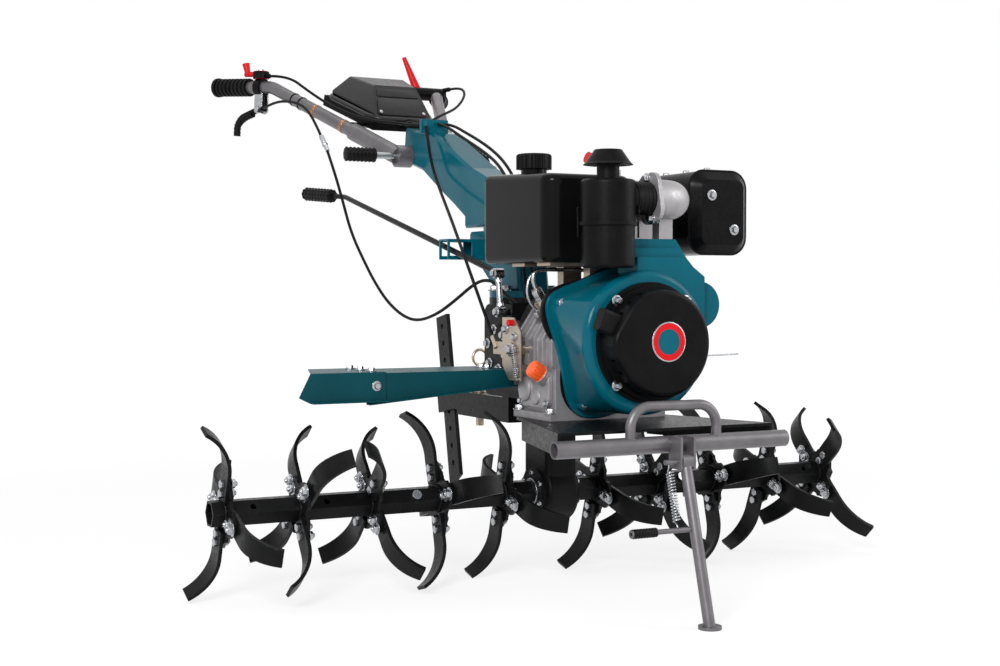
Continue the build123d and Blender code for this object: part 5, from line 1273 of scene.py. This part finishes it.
    muffler_low: Triple = (168.0, -204.0, 421.0)
    muffler_high: Triple = (287.0, 0.0, 565.0)
    muffler_corner: float = 30.0
    seam_inset: float = 17.0
    seam_radius: float = 2.4
    exhaust: Pair = (-137.0, 472.0)
    clamp_span: Pair = (146.0, 158.0)
    clamp_radius: float = 26.5
    exhaust_flange_x: float = 112.0
    exhaust_flange: Pair = (84.0, 60.0)
    exhaust_bolt_x: float = 120.0
    exhaust_bolt_y: Pair = (-34.0, 34.0)
    exhaust_bolt: Hexagon = Hexagon(12.0, 8.0, 1.8)
    muffler_front_seats: tuple[Pair, Pair] = ((204.0, 522.0), (251.0, 463.0))
    muffler_front_bolt: Hexagon = Hexagon(11.0, 6.0, 1.6)
    muffler_top_x: float = 216.0
    muffler_top_y: Triple = (-172.0, -108.0, -44.0)
    muffler_top_bolt: Hexagon = Hexagon(10.0, 5.0, 1.6)

    def build(self) -> None:
        """Makes every small part of the engine."""
        self._shroud()
        self._starter()
        self._block()
        self._injection()
        self._governor()
        self._intake()
        self._muffler()

    def _shroud(self) -> None:
        """The shroud's bolts, bosses and gasket, and the stop rod beside it.

        The gasket's radius is the smooth wave through twelve radii round the crank.
        """
        shell, bosses = Shell(), Shell()
        flange = self.shroud_front - self.starter_flange
        seats = [at(side * self.starter_bolt_x, flange, z)
                 for side in BOTH_SIDES for z in self.starter_bolt_z]
        bolts(shell, seats, FORWARD, self.starter_bolt)
        for ear in self.ears:
            root = at(*ear)
            front = root - REARWARD * self.ear_length
            bolts(shell, [front], FORWARD, self.ear_bolt)
            bosses.add(collar(root, front, self.ear_radius, 28))
        piece("shroud_bolts", shell, BRIGHT, Body.CHASSIS)
        piece("shroud_bosses", bosses, TEAL, Body.CHASSIS)
        wave = np.fft.irfft(np.fft.rfft(np.array(self.gasket_radii)), self.gasket_points)
        radii = wave * self.gasket_points / len(self.gasket_radii) + self.gasket_overhang
        outline = radii[:, None] * circle(full_turn(len(radii)), np.eye(2)[0], np.eye(2)[1])
        middle = at(0, self.gasket_y, self.crank_z)
        gasket = slab(outline, middle, ACROSS, UPWARD, self.gasket_thick, 1.0)
        piece("shroud_gasket", Shell().add(gasket), PLASTIC, Body.CHASSIS)
        inner, outer = (at(*end) for end in self.rod_ends)
        rod = Shell().add(collar(inner, outer, self.rod_radius, 12))
        piece("stop_rod", rod, BRIGHT, Body.CHASSIS)

    def _starter(self) -> None:
        """The plain badge in the starter's middle: a bright rim, a red ring and a teal disc."""
        across, up = self.badge_shift
        middle = at(across, self.starter_front, self.crank_z + up)
        for name, profile, finish in (
            ("badge_rim", self.badge_rim, BRIGHT),
            ("badge_ring", self.badge_ring, RED),
            ("badge_disc", self.badge_disc, TEAL),
        ):
            shell = Shell().add(spun(profile, middle, FORWARD, self.badge_sides))
            piece(name, shell, finish, Body.CHASSIS)

    def _block(self) -> None:
        """The cast side cover, the filler's neck and plug, the bolts and the lever's post."""
        cover = Shell()
        x, y, z = self.cover
        face = plate(
            at(x, y, z), FORWARD, UPWARD, self.cover_size, self.cover_corner, self.cover_thick)
        cover.add(face)
        cover.add(spun(self.large_boss_profile, at(*self.large_boss), -ACROSS, 32))
        cover.add(spun(self.small_boss_profile, at(*self.small_boss), -ACROSS, 28))
        root, lean = at(*self.filler), math.radians(self.side_lean)
        way = np.array([-math.cos(lean), 0.0, math.sin(lean)])
        cover.add(collar(root, root + way * self.neck_length, self.neck_radius, 36))
        piece("side_cover", cover, CAST, Body.CHASSIS)
        foot, top = (root + way * reach for reach in self.plug_span)
        plug = knurled(foot, top, self.plug_radius, self.plug_ribs, self.plug_groove)
        piece("filler_plug", Shell().add(plug), ORANGE, Body.CHASSIS)

        shell = Shell()
        aside, rise = self.cover_bolt_reach
        seats = [at(x - self.cover_thick, y + row * aside, z + column * rise)
                 for row in BOTH_SIDES for column in BOTH_SIDES]
        bolts(shell, seats, -ACROSS, self.cover_bolt)
        base = [at(side * self.base_bolt_x, row, self.block_flange_top)
                for side in BOTH_SIDES for row in self.base_bolt_y]
        bolts(shell, base, UPWARD, self.base_bolt)
        rocker = [at(self.rocker_bolt_x, row, self.rocker_top) for row in self.rocker_bolt_y]
        bolts(shell, rocker, UPWARD, self.rocker_bolt)
        piece("block_bolts", shell, BRIGHT, Body.CHASSIS)

        root = at(*self.post, self.rocker_top)
        top = at(*self.post, self.rocker_top + self.post_height)
        post = Shell().add(collar(root, top, self.post_radius, 28))
        post.add(plate(root, ACROSS, REARWARD, self.post_foot, 6.0, 4.0))
        piece("decompression_post", post, CAST, Body.CHASSIS)

    def _injection(self) -> None:
        """The pump's delivery pipe under the tank, its union nuts and the spill pipe beside it."""
        shell = Shell()
        lean = math.radians(self.side_lean)
        way = np.array([-math.sin(lean), 0.0, math.cos(lean)])
        foot = at(*self.pump)
        top = foot + way * self.pump_height
        unions = [top - way * self.union_drop, foot + way * self.union_foot]
        bolts(shell, unions, way, self.union_nut)
        delivery = [top - way * self.union_lap, *(at(*point) for point in self.delivery)]
        shell.add(tube(delivery, self.delivery_radius))
        shell.add(tube([at(*point) for point in self.spill], self.spill_radius))
        bolts(shell, [at(*self.spill_seat)], way, self.spill_nut)
        piece("injection_pipes", shell, BRIGHT, Body.CHASSIS)

    def _governor(self) -> None:
        """The governor's bolts, its spring and the stop screw's red cap."""
        shell = Shell()
        seats = [at(self.governor_face, y, z) for y, z in self.governor_seats]
        bolts(shell, seats, -ACROSS, self.governor_bolt)
        bolts(shell, [at(*self.governor_pivot)], -ACROSS, self.governor_nut)
        start, end = (at(*point) for point in self.spring_ends)
        turns = coil(start, end, self.spring_radius, self.spring_turns, 16)
        shell.add(swept(turns, self.spring_wire, WIRE_SIDES))
        for hook in self.spring_hooks:
            shell.add(tube([at(*point) for point in hook], self.hook_wire, WIRE_SIDES))
        piece("governor_fittings", shell, BRIGHT, Body.CHASSIS)
        root = at(self.governor_face, *self.stop_screw)
        top = at(self.governor_face - self.stop_cap_length, *self.stop_screw)
        piece("stop_screw_cap", Shell().add(knurled(root, top, 5.5, 10, 0.8)), RED, Body.CHASSIS)

    def _intake(self) -> None:
        """The ribbed hose, the elbow's flange bolts and the canister's clips."""
        x, y, z = self.canister
        start = at(x + self.hose_start, y, self.duct_z)
        end = at(self.duct_flange + 0.5, y, self.duct_z)
        hose = ribbed_grip(start, end, self.hose_radius, self.hose_ribs, self.hose_groove)
        piece("hose_ribs", Shell().add(hose), RUBBER, Body.CHASSIS)

        clips = Shell()
        for turn in self.clip_turns:
            out = np.array([math.cos(math.radians(turn)), math.sin(math.radians(turn)), 0.0])
            side = np.array([-out[1], out[0], 0.0])
            foot = at(x, y, z) + out * (self.canister_radius + self.clip_thick)
            middle = foot - UPWARD * 4.0
            clips.add(plate(middle, side, UPWARD, self.clip_size, 3.0, self.clip_thick))
            hook = [foot + UPWARD * rise + side * aside + out * off
                    for rise, aside, off in self.clip_hook]
            clips.add(tube(hook, self.clip_wire, WIRE_SIDES))
        piece("canister_clips", clips, PLASTIC, Body.CHASSIS)

        shell = Shell()
        lean = math.radians(self.flange_lean)
        along = np.array([0.0, -math.sin(lean), math.cos(lean)])
        for side in BOTH_SIDES:
            seat = at(self.duct_flange, y, self.duct_z) + along * self.flange_reach * side
            bolts(shell, [seat], -ACROSS, self.flange_bolt)
            bolts(shell, [seat + ACROSS * self.flange_thick], ACROSS, self.flange_nut)
        piece("intake_bolts", shell, BRIGHT, Body.CHASSIS)

    def _muffler(self) -> None:
        """The silencer's seams, the pipe's clamp and flange, and the bolts of all three."""
        low, high = np.array(self.muffler_low), np.array(self.muffler_high)
        middle, size = (low + high) / 2, high - low
        outline = rounded_rectangle(size[0], size[2], self.muffler_corner, 10)
        shell = Shell()
        for y in (low[1] + self.seam_inset, high[1] - self.seam_inset):
            place = np.full(len(outline), y)
            ring = np.stack([middle[0] + outline[:, 0], place, middle[2] + outline[:, 1]], axis=1)
            shell.add(swept_ring(AXLE + ring, self.seam_radius, WIRE_SIDES), ring=True)
        start, end = (at(x, *self.exhaust) for x in self.clamp_span)
        shell.add(collar(start, end, self.clamp_radius))
        flange = at(self.exhaust_flange_x, *self.exhaust)
        shell.add(plate(flange, REARWARD, UPWARD, self.exhaust_flange, 14.0, 8.0))
        piece("muffler_seams", shell, MUFFLER_BLACK, Body.CHASSIS)

        heads = Shell()
        front = [at(x, low[1], z) for x, z in self.muffler_front_seats]
        bolts(heads, front, FORWARD, self.muffler_front_bolt)
        pipe_y, pipe_z = self.exhaust
        pipe = [at(self.exhaust_bolt_x, pipe_y + y, pipe_z) for y in self.exhaust_bolt_y]
        bolts(heads, pipe, ACROSS, self.exhaust_bolt)
        top = [at(self.muffler_top_x, y, high[2]) for y in self.muffler_top_y]
        bolts(heads, top, UPWARD, self.muffler_top_bolt)
        piece("muffler_bolts", heads, BRIGHT, Body.CHASSIS)


@dataclass
class DriveLine:
    """Bolts of the gear case, the final drive, the column's foot and the fender; the gear link."""

    case_side: float = 61.0
    case_cover: Pair = (92.0, 251.0)
    case_circle: float = 37.0
    case_bolt: Hexagon = Hexagon(11.0, 6.0, 1.5)
    flange_x: float = 36.0
    flange_circle: float = 34.0
    flange_bolt: Hexagon = Hexagon(9.0, 5.0)
    circle_bolts: int = 6
    bell_y: float = -47.0
    bell_seats: Profile = ((74.0, 300.0), (78.0, 250.0), (60.0, 330.0))
    seat: Triple = (47.0, 104.0, 357.0)
    seat_reach: Pair = (-24.0, 24.0)
    seat_bolt: Hexagon = Hexagon(14.0, 8.0, 2.2)
    seal_spans: tuple[Pair, Pair] = ((-41.0, -36.0), (36.0, 41.0))
    seal_radius: float = 24.0

    fender_top: float = 221.0
    fender_front: float = -46.0
    lap_x: float = -355.0
    lap_y: Triple = (-25.0, 25.0, 72.0)
    lap_thick: float = 2.0
    lap_front_z: float = 200.0
    stay_x: float = -118.0
    stay_y: Pair = (18.0, 42.0)
    fender_bolt: Hexagon = Hexagon(10.0, 5.0, 1.6)

    link_top: Triple = (-100.0, 10.0, 388.0)
    link_low: Triple = (-100.0, 0.0, 320.0)
    link_radius: float = 5.4
    link_short: float = 8.0
    link_nut_reach: Pair = (10.0, 16.0)
    eye_half: float = 9.4
    eye_radius: float = 9.2
    eye_nut: Hexagon = Hexagon(11.0, 5.0)
    link_nut: Hexagon = Hexagon(11.0, 6.0)

    def build(self) -> None:
        """Makes the bolts of every flange and the gear link."""
        self._flanges()
        self._fender()
        self._gear_link()

    def _flanges(self) -> None:
        """The bolts of the cases and the column's foot, and the shaft's two seals."""
        shell = Shell()
        x, y, z = self.seat
        for side in BOTH_SIDES:
            way, count = ACROSS * side, self.circle_bolts
            case = at(side * self.case_side, *self.case_cover)
            drive = at(side * self.flange_x, 0, 0)
            bolts(shell, round_seats(case, way, self.case_circle, count, 15), way, self.case_bolt)
            bolts(shell, round_seats(drive, way, self.flange_circle, count), way, self.flange_bolt)
            bell = [at(side * across, self.bell_y, up) for across, up in self.bell_seats]
            bolts(shell, bell, REARWARD, self.case_bolt)
            foot = [at(side * x, y + reach, z) for reach in self.seat_reach]
            bolts(shell, foot, UPWARD, self.seat_bolt)
        for start, end in self.seal_spans:
            shell.add(collar(at(start, 0, 0), at(end, 0, 0), self.seal_radius, 36))
        piece("drive_bolts", shell, BRIGHT, Body.CHASSIS)

    def _fender(self) -> None:
        """The bolts through the fender's lap and its stay."""
        shell = Shell()
        lap = [at(self.lap_x, y, self.fender_top + self.lap_thick) for y in self.lap_y]
        stay = [at(self.stay_x, y, self.fender_top) for y in self.stay_y]
        bolts(shell, lap + stay, UPWARD, self.fender_bolt)
        front = at(self.lap_x, self.fender_front - self.lap_thick, self.lap_front_z)
        bolts(shell, [front], FORWARD, self.fender_bolt)
        piece("fender_bolts", shell, BRIGHT, Body.CHASSIS)

    def _gear_link(self) -> None:
        """The plated link from the gear lever's joint to its shift shaft, with its nuts."""
        top, low = at(*self.link_top), at(*self.link_low)
        way, half = unit(top - low), ACROSS * self.eye_half
        short = way * self.link_short
        shell = Shell().add(collar(low + short, top - short, self.link_radius, 20))
        for middle in (top, low):
            shell.add(collar(middle - half, middle + half, self.eye_radius, 24))
            bolts(shell, [middle - half], -ACROSS, self.eye_nut)
        above, below = self.link_nut_reach
        bolts(shell, [low + way * above, top - way * below], way, self.link_nut)
        piece("gear_link", shell, BRIGHT, Body.CHASSIS)


@dataclass
class HandControls:
    """The levers' grips, the clamps on the handlebars, their bands and the console's trim."""

    tilt_y: float = 545.0
    tilt_z: float = 638.0
    grip_start: float = 112.0
    grip_end: float = 176.0
    grip_radius: float = 15.4
    grip_nubs: int = 9
    nub_depth: float = 1.9
    clamp_rings: int = 8
    lever_rings: int = 9
    grip_lap: float = 2.0
    grip_tip: float = 2.5
    gear_bend: Triple = (-100.0, 744.0, 563.0)
    gear_end: Triple = (-135.0, 892.0, 577.0)
    gear_grip: float = 104.0
    swing_root: Triple = (47.0, 320.0, 597.0)
    swing_end: Triple = (47.0, 478.0, 666.0)
    swing_grip: float = 130.0
    tilt_nut_x: float = 66.0
    tilt_nut: Hexagon = Hexagon(22.0, 12.0, 2.5)

    arm_start: Triple = (58.667, 545.0, 638.0)
    arm_bend: Triple = (205.0, 925.0, 818.0)
    arm_end: Triple = (283.0, 1075.0, 830.0)
    perch: float = 34.0
    reverse_perch: float = 46.0

    cheek_drop: float = 34.0
    cheek_half: float = 8.2
    cheek_size: Pair = (24.0, 50.0)
    cheek_corner: float = 8.0
    cheek_thick: float = 2.6
    cheek_bolt_drop: float = 50.0
    lever_pivot_drop: float = 54.0
    lever_reach: float = 78.0
    lever_drop: float = 20.0
    sleeve_start: Profile = ((0.34, 0.0), (0.62, 1.0))
    sleeve_end: Profile = ((12.0, 3.5), (2.5, 15.0), (0.0, 37.5))
    sleeve_radius: float = 7.9
    sleeve_swell: float = 0.7
    sleeve_ribs: int = 11
    screw: Hexagon = Hexagon(12.0, 5.0, 1.5)

    thumb_span: Pair = (19.0, 36.4)
    thumb_radius: float = 18.6
    thumb_ribs: int = 18
    thumb_groove: float = 0.9
    thumb_screw: Hexagon = Hexagon(10.0, 4.0, 1.4)

    clamp_lift: float = 10.0
    clamp_half: float = 9.4
    clamp_radius: float = 20.5
    boss_span: Pair = (70.4, 17.3)
    boss_radius: float = 15.5
    pinch_back: float = 14.0
    pinch_drop: float = 15.0
    pinch_screw: Hexagon = Hexagon(9.0, 4.0)

    band_shares: Pair = (0.40, 0.62)
    band_width: float = 9.0
    band_radius: float = 15.0
    tie_shares: Pair = (0.74, 0.80)
    tie_width: float = 4.5
    tie_radius: float = 15.2
    end_ring_radius: float = 22.0
    end_ring_past: float = 4.0
    end_ring_span: Pair = (7.0, 1.2)

    lip_corners: Route = ((-68, 653, 727), (68, 653, 727), (109, 835, 797), (-109, 835, 797))
    lip_radius: float = 6.0
    front_rise: Triple = (0.0, 50.0, 81.0)
    front_middle: Triple = (0.0, 675.5, 766.0)
    low_panel: Profile = ((-58, -36), (58, -36), (50, 10), (-50, 10))
    low_panel_rim: Pair = (3.0, 1.4)
    high_panel: Profile = ((-50, 15), (50, 15), (45, 36), (-45, 36))
    high_panel_rim: Pair = (2.0, 0.9)
    panel_lift: float = 0.4
    console_screw_place: Triple = (50.0, 29.0, 3.4)
    console_screw: Hexagon = Hexagon(7.0, 2.0)

    def build(self) -> None:
        """Makes the grips, the clamps, the bands and the console's trim."""
        self._grips()
        self._clutch()
        self._throttle()
        self._reverse()
        self._bands()
        self._console()

    def _grips(self) -> None:
        """The nubbed grips of the tilt, gear and swivel levers, and the tilt clamp's nut."""
        tilt = at(0, self.tilt_y, self.tilt_z)
        inner = tilt - ACROSS * (self.grip_start - self.grip_lap)
        outer = tilt - ACROSS * (self.grip_end + self.grip_tip)
        self._grip("clamp_grip", inner, outer, self.clamp_rings, Body.COLUMN)
        for name, root, end, length, body in (
            ("gear_grip", self.gear_bend, self.gear_end, self.gear_grip, Body.CHASSIS),
            ("swivel_grip", self.swing_root, self.swing_end, self.swing_grip, Body.COLUMN),
        ):
            tip = at(*end)
            way = unit(tip - at(*root))
            inner, outer = tip - way * (length + self.grip_lap), tip + way * self.grip_tip
            self._grip(name, inner, outer, self.lever_rings, body)
        nut = Shell()
        bolts(nut, [tilt + ACROSS * self.tilt_nut_x], ACROSS, self.tilt_nut)
        piece("tilt_nut", nut, BRIGHT, Body.HANDLEBARS)

    def _grip(self, name: str, inner: Array, outer: Array, rings: int, body: Body) -> None:
        """One nubbed rubber grip.

        Args:
            name: The grip's name.
            inner: The middle of its inner end.
            outer: The middle of its outer end.
            rings: Rings of nubs along it.
            body: The body that carries it.
        """
        net = nubbed_grip(
            inner, outer, self.grip_radius, rings, self.grip_nubs, self.nub_depth)
        piece(name, Shell().add(net), RUBBER, body)

    def _run(self, side: int) -> tuple[Array, Array]:
        """A handlebar's bend and the direction of its grip.

        Args:
            side: Minus one on the right, one on the left.

        Returns:
            The bend's point and the direction.
        """
        bend, end = (at(side * x, y, z) for x, y, z in (self.arm_bend, self.arm_end))
        return bend, unit(end - bend)

    def _clutch(self) -> None:
        """The clutch lever's bright cheeks, its pivot bolts and its ribbed rubber sleeve.

        The sleeve is a round section along the lever's line, its radius swelling in even ribs
        that fade out at both ends.
        """
        bend, run = self._run(-1)
        perch = bend + run * self.perch
        side = unit(np.cross(run, UPWARD))
        cheeks = Shell()
        for face in BOTH_SIDES:
            middle = perch - UPWARD * self.cheek_drop + side * face * self.cheek_half
            up = unit(np.cross(side * face, run * face))
            cheeks.add(plate(
                middle, run * face, up, self.cheek_size, self.cheek_corner, self.cheek_thick))
        hang = perch - UPWARD * self.cheek_bolt_drop
        for face in (1, -1):
            seat = hang + side * face * (self.cheek_half + self.cheek_thick)
            bolts(cheeks, [seat], side * face, self.screw)
        piece("clutch_cheeks", cheeks, BRIGHT, Body.HANDLEBARS)

        pivot = perch - UPWARD * self.lever_pivot_drop
        elbow = pivot + run * self.lever_reach - UPWARD * self.lever_drop
        arm = elbow - pivot
        line = [pivot + arm * share - UPWARD * drop for share, drop in self.sleeve_start]
        line += [elbow - run * back - UPWARD * drop for back, drop in self.sleeve_end]
        path = through(line, 14)
        share = np.linspace(0.0, 1.0, len(path))
        fade = np.clip(np.minimum(share, 1 - share) * 8, 0.0, 1.0)
        ribs = self.sleeve_swell * np.cos(share * self.sleeve_ribs * FULL_TURN) * fade
        sleeve = Shell().add(swept(path, self.sleeve_radius + ribs, 16))
        piece("clutch_sleeve", sleeve, RUBBER, Body.HANDLEBARS, SOFT_CREASE)

    def _throttle(self) -> None:
        """The thumb lever's round black base and its centre screw."""
        bend, run = self._run(-1)
        foot, top = (bend + run * self.perch + UPWARD * rise for rise in self.thumb_span)
        base = knurled(foot, top, self.thumb_radius, self.thumb_ribs, self.thumb_groove)
        piece("thumb_base", Shell().add(base), PLASTIC, Body.HANDLEBARS)
        shell = Shell()
        bolts(shell, [top], UPWARD, self.thumb_screw)
        piece("thumb_screw", shell, BRIGHT, Body.HANDLEBARS)

    def _reverse(self) -> None:
        """The reverse lever's black clamp and boss, with bright screws."""
        bend, run = self._run(1)
        root = bend + run * self.reverse_perch
        lift = root + UPWARD * self.clamp_lift
        half = run * self.clamp_half
        left, right = self.boss_span
        shell = Shell().add(collar(root - half, root + half, self.clamp_radius, 36))
        shell.add(collar(lift - ACROSS * left, lift + ACROSS * right, self.boss_radius, 36))
        piece("reverse_clamp", shell, PLASTIC, Body.HANDLEBARS)
        screws = Shell()
        bolts(screws, [lift - ACROSS * left], -ACROSS, self.screw)
        pinch = root - REARWARD * self.pinch_back - UPWARD * self.pinch_drop
        bolts(screws, [pinch], unit(-REARWARD - UPWARD), self.pinch_screw)
        piece("reverse_screws", screws, BRIGHT, Body.HANDLEBARS)

    def _bands(self) -> None:
        """Copper-coloured bands and black ties on the right-hand arm, and the grips' end rings."""
        x, y, z = self.arm_start
        start = at(-x, y, z)
        bend, _ = self._run(-1)
        way, span = unit(bend - start), float(np.linalg.norm(bend - start))
        bands, ties = Shell(), Shell()
        for shell, shares, width, radius, sides in (
            (bands, self.band_shares, self.band_width, self.band_radius, 32),
            (ties, self.tie_shares, self.tie_width, self.tie_radius, 28),
        ):
            for share in shares:
                near = start + way * span * share
                shell.add(collar(near, start + way * (span * share + width), radius, sides))
        grip = float(np.linalg.norm(np.array(self.arm_end) - np.array(self.arm_bend)))
        behind, ahead = self.end_ring_span
        for side in BOTH_SIDES:
            corner, run = self._run(side)
            tip = corner + run * (grip + self.end_ring_past)
            ties.add(collar(tip - run * behind, tip + run * ahead, self.end_ring_radius, 36))
        piece("arm_bands", bands, COPPER, Body.HANDLEBARS)
        piece("arm_ties", ties, RUBBER, Body.HANDLEBARS)

    def _console(self) -> None:
        """The console's moulded lip and the raised panels on its front, with two screws."""
        lip = AXLE + eased(self.lip_corners)
        shell = Shell().add(swept_ring(lip, self.lip_radius, 12), ring=True)
        rise = unit(np.array(self.front_rise))
        out = np.cross(ACROSS, rise)
        face = at(*self.front_middle)
        back = face + out * self.panel_lift
        for panel, rim in (
            (self.low_panel, self.low_panel_rim), (self.high_panel, self.high_panel_rim)
        ):
            shell.add(slab(eased(panel, width=7), back, ACROSS, rise, *rim))
        piece("console_lip", shell, HOOD_PLASTIC, Body.HANDLEBARS)
        screws = Shell()
        aside, down, off = self.console_screw_place
        seats = [face + ACROSS * side * aside - rise * down + out * off for side in BOTH_SIDES]
        bolts(screws, seats, out, self.console_screw)
        piece("console_screws", screws, BRIGHT, Body.HANDLEBARS)


@dataclass(frozen=True)
class Lamp:
    """A round area lamp: its name, its place, the point it faces, its size and its power."""

    name: str
    place: Triple
    aim: Triple
    size: float
    power: float

    def build(self) -> None:
        """Hangs the lamp and turns it from straight down to face its aim."""
        data = bpy.data.lights.new(self.name, "AREA")
        data.shape = "DISK"
        data.size = self.size
        data.energy = self.power
        lamp = bpy.data.objects.new(self.name, data)
        run = unit(np.array(self.aim) - np.array(self.place))
        lamp.location = self.place
        heading = math.atan2(run[0], -run[1]) + math.pi
        lamp.rotation_euler = (math.acos(-run[2]), 0.0, heading)
        bpy.context.scene.collection.objects.link(lamp)


@dataclass
class Studio:
    """Floor, light and camera."""

    camera_place: Triple = (-1.2985, -2.6078, 0.5074)
    yaw: float = 27.315
    pitch: float = 1.619
    focal_pixels: float = 1486.57
    frame_pixels: float = 1000.0
    sensor: float = 36.0
    sight: float = 100.0
    floor_radii: tuple[float, ...] = (0.001, 1.2, 2.5, 5.0, 10.0, 20.0, 40.0)
    floor_sides: int = 64
    floor_colour: Triple = (0.94, 0.94, 0.94)
    floor_roughness: float = 0.9
    floor_specular: float = 0.1
    glow: float = 1.07
    glow_start: float = 1.0
    glow_end: float = 3.2
    glow_least: float = 0.72
    world_light: float = 0.45
    world_seen: float = 1.0
    lamps: tuple[Lamp, ...] = (
        Lamp("key", (-2.2, -2.6, 1.9), (0.0, 0.0, 0.5), 1.3, 92.0),
        Lamp("fill", (2.6, -1.8, 1.6), (0.0, 0.0, 0.5), 2.0, 36.0),
        Lamp("top", (0.2, 0.6, 3.2), (0.0, 0.0, 0.4), 2.6, 16.0),
    )

    def build(self) -> None:
        """Makes the stage: a key lamp from the camera's left, a fill and one from above."""
        self._camera()
        self._floor()
        self._world()
        for lamp in self.lamps:
            lamp.build()
        bpy.context.scene.view_settings.view_transform = "Standard"

    def _camera(self) -> None:
        """The camera at the photograph's place, looking a little down."""
        data = bpy.data.cameras.new("camera")
        data.sensor_width = self.sensor
        data.lens = self.sensor * self.focal_pixels / self.frame_pixels
        data.clip_end = self.sight
        camera = bpy.data.objects.new("camera", data)
        camera.location = self.camera_place
        tilt, heading = math.radians(90.0 - self.pitch), math.radians(-self.yaw)
        camera.rotation_euler = (tilt, 0.0, heading)
        bpy.context.scene.collection.objects.link(camera)
        bpy.context.scene.camera = camera

    def _floor(self) -> None:
        """A wide flat disc: rings of growing radius, closed by a tiny one in the middle."""
        radii, turn = np.array(self.floor_radii)[:, None], full_turn(self.floor_sides)
        across, along = radii * np.cos(turn), radii * np.sin(turn)
        net = np.stack([across, along, np.zeros_like(across)], axis=-1)
        made = Shell().add(net / MM, capped=False).mesh("floor")
        made.materials.append(self._floor_material())
        floor = bpy.data.objects.new("floor", made)
        bpy.context.scene.collection.objects.link(floor)

    def _floor_material(self) -> bpy.types.Material:
        """A pale floor that runs to plain white away from the machine.

        Returns:
            The material.
        """
        material = bpy.data.materials.new("pale_floor")
        material.use_nodes = True
        tree = material.node_tree
        shader = tree.nodes["Principled BSDF"]
        shader.inputs["Base Color"].default_value = (*self.floor_colour, 1.0)
        shader.inputs["Roughness"].default_value = self.floor_roughness
        shader.inputs["Specular IOR Level"].default_value = self.floor_specular
        white = tree.nodes.new("ShaderNodeEmission")
        white.inputs["Strength"].default_value = self.glow
        mix = tree.nodes.new("ShaderNodeMixShader")
        place = tree.nodes.new("ShaderNodeTexCoord")
        far = tree.nodes.new("ShaderNodeVectorMath")
        far.operation = "LENGTH"
        tree.links.new(place.outputs["Object"], far.inputs[0])
        span = tree.nodes.new("ShaderNodeMapRange")
        span.interpolation_type = "SMOOTHSTEP"
        span.inputs["From Min"].default_value = self.glow_start
        span.inputs["From Max"].default_value = self.glow_end
        span.inputs["To Min"].default_value = self.glow_least
        tree.links.new(far.outputs["Value"], span.inputs["Value"])
        tree.links.new(span.outputs["Result"], mix.inputs["Fac"])
        tree.links.new(shader.outputs["BSDF"], mix.inputs[1])
        tree.links.new(white.outputs["Emission"], mix.inputs[2])
        tree.links.new(mix.outputs["Shader"], tree.nodes["Material Output"].inputs["Surface"])
        return material

    def _world(self) -> None:
        """A white world to the camera and in reflections, and a softer one as light."""
        world = bpy.data.worlds.new("studio")
        bpy.context.scene.world = world
        world.use_nodes = True
        tree = world.node_tree
        light, seen = tree.nodes["Background"], tree.nodes.new("ShaderNodeBackground")
        for shader, strength in ((light, self.world_light), (seen, self.world_seen)):
            shader.inputs["Color"].default_value = (1.0, 1.0, 1.0, 1.0)
            shader.inputs["Strength"].default_value = strength
        path = tree.nodes.new("ShaderNodeLightPath")
        mix = tree.nodes.new("ShaderNodeMixShader")
        seen_rays = path.outputs["Is Camera Ray"]
        for kind in ("Is Glossy Ray", "Is Transmission Ray"):
            either = tree.nodes.new("ShaderNodeMath")
            either.operation = "MAXIMUM"
            tree.links.new(seen_rays, either.inputs[0])
            tree.links.new(path.outputs[kind], either.inputs[1])
            seen_rays = either.outputs["Value"]
        tree.links.new(seen_rays, mix.inputs["Fac"])
        tree.links.new(light.outputs["Background"], mix.inputs[1])
        tree.links.new(seen.outputs["Background"], mix.inputs[2])
        tree.links.new(mix.outputs["Shader"], tree.nodes["World Output"].inputs["Surface"])


def dress_nodes(nodes: dict[str, Thing]) -> None:
    """Gives every carried-over solid its finish.

    Args:
        nodes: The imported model's nodes by name.
    """
    for finish, names in NODE_FINISHES.items():
        for name in names:
            mesh = nodes[name].data
            mesh.materials.clear()
            mesh.materials.append(finish.material())
            LOG.info("%s: %s", name, finish.name)


def main() -> None:
    """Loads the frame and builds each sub-assembly."""
    logging.basicConfig(level=logging.INFO, format="%(name)s %(message)s")
    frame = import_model()
    dress_nodes(frame["nodes"])
    Studio().build()
    for assembly in (
        ControlCables(), TineRotor(), FrontStand(), Engine(), DriveLine(), HandControls()
    ):
        assembly.build()


if __name__ == "__main__":
    main()
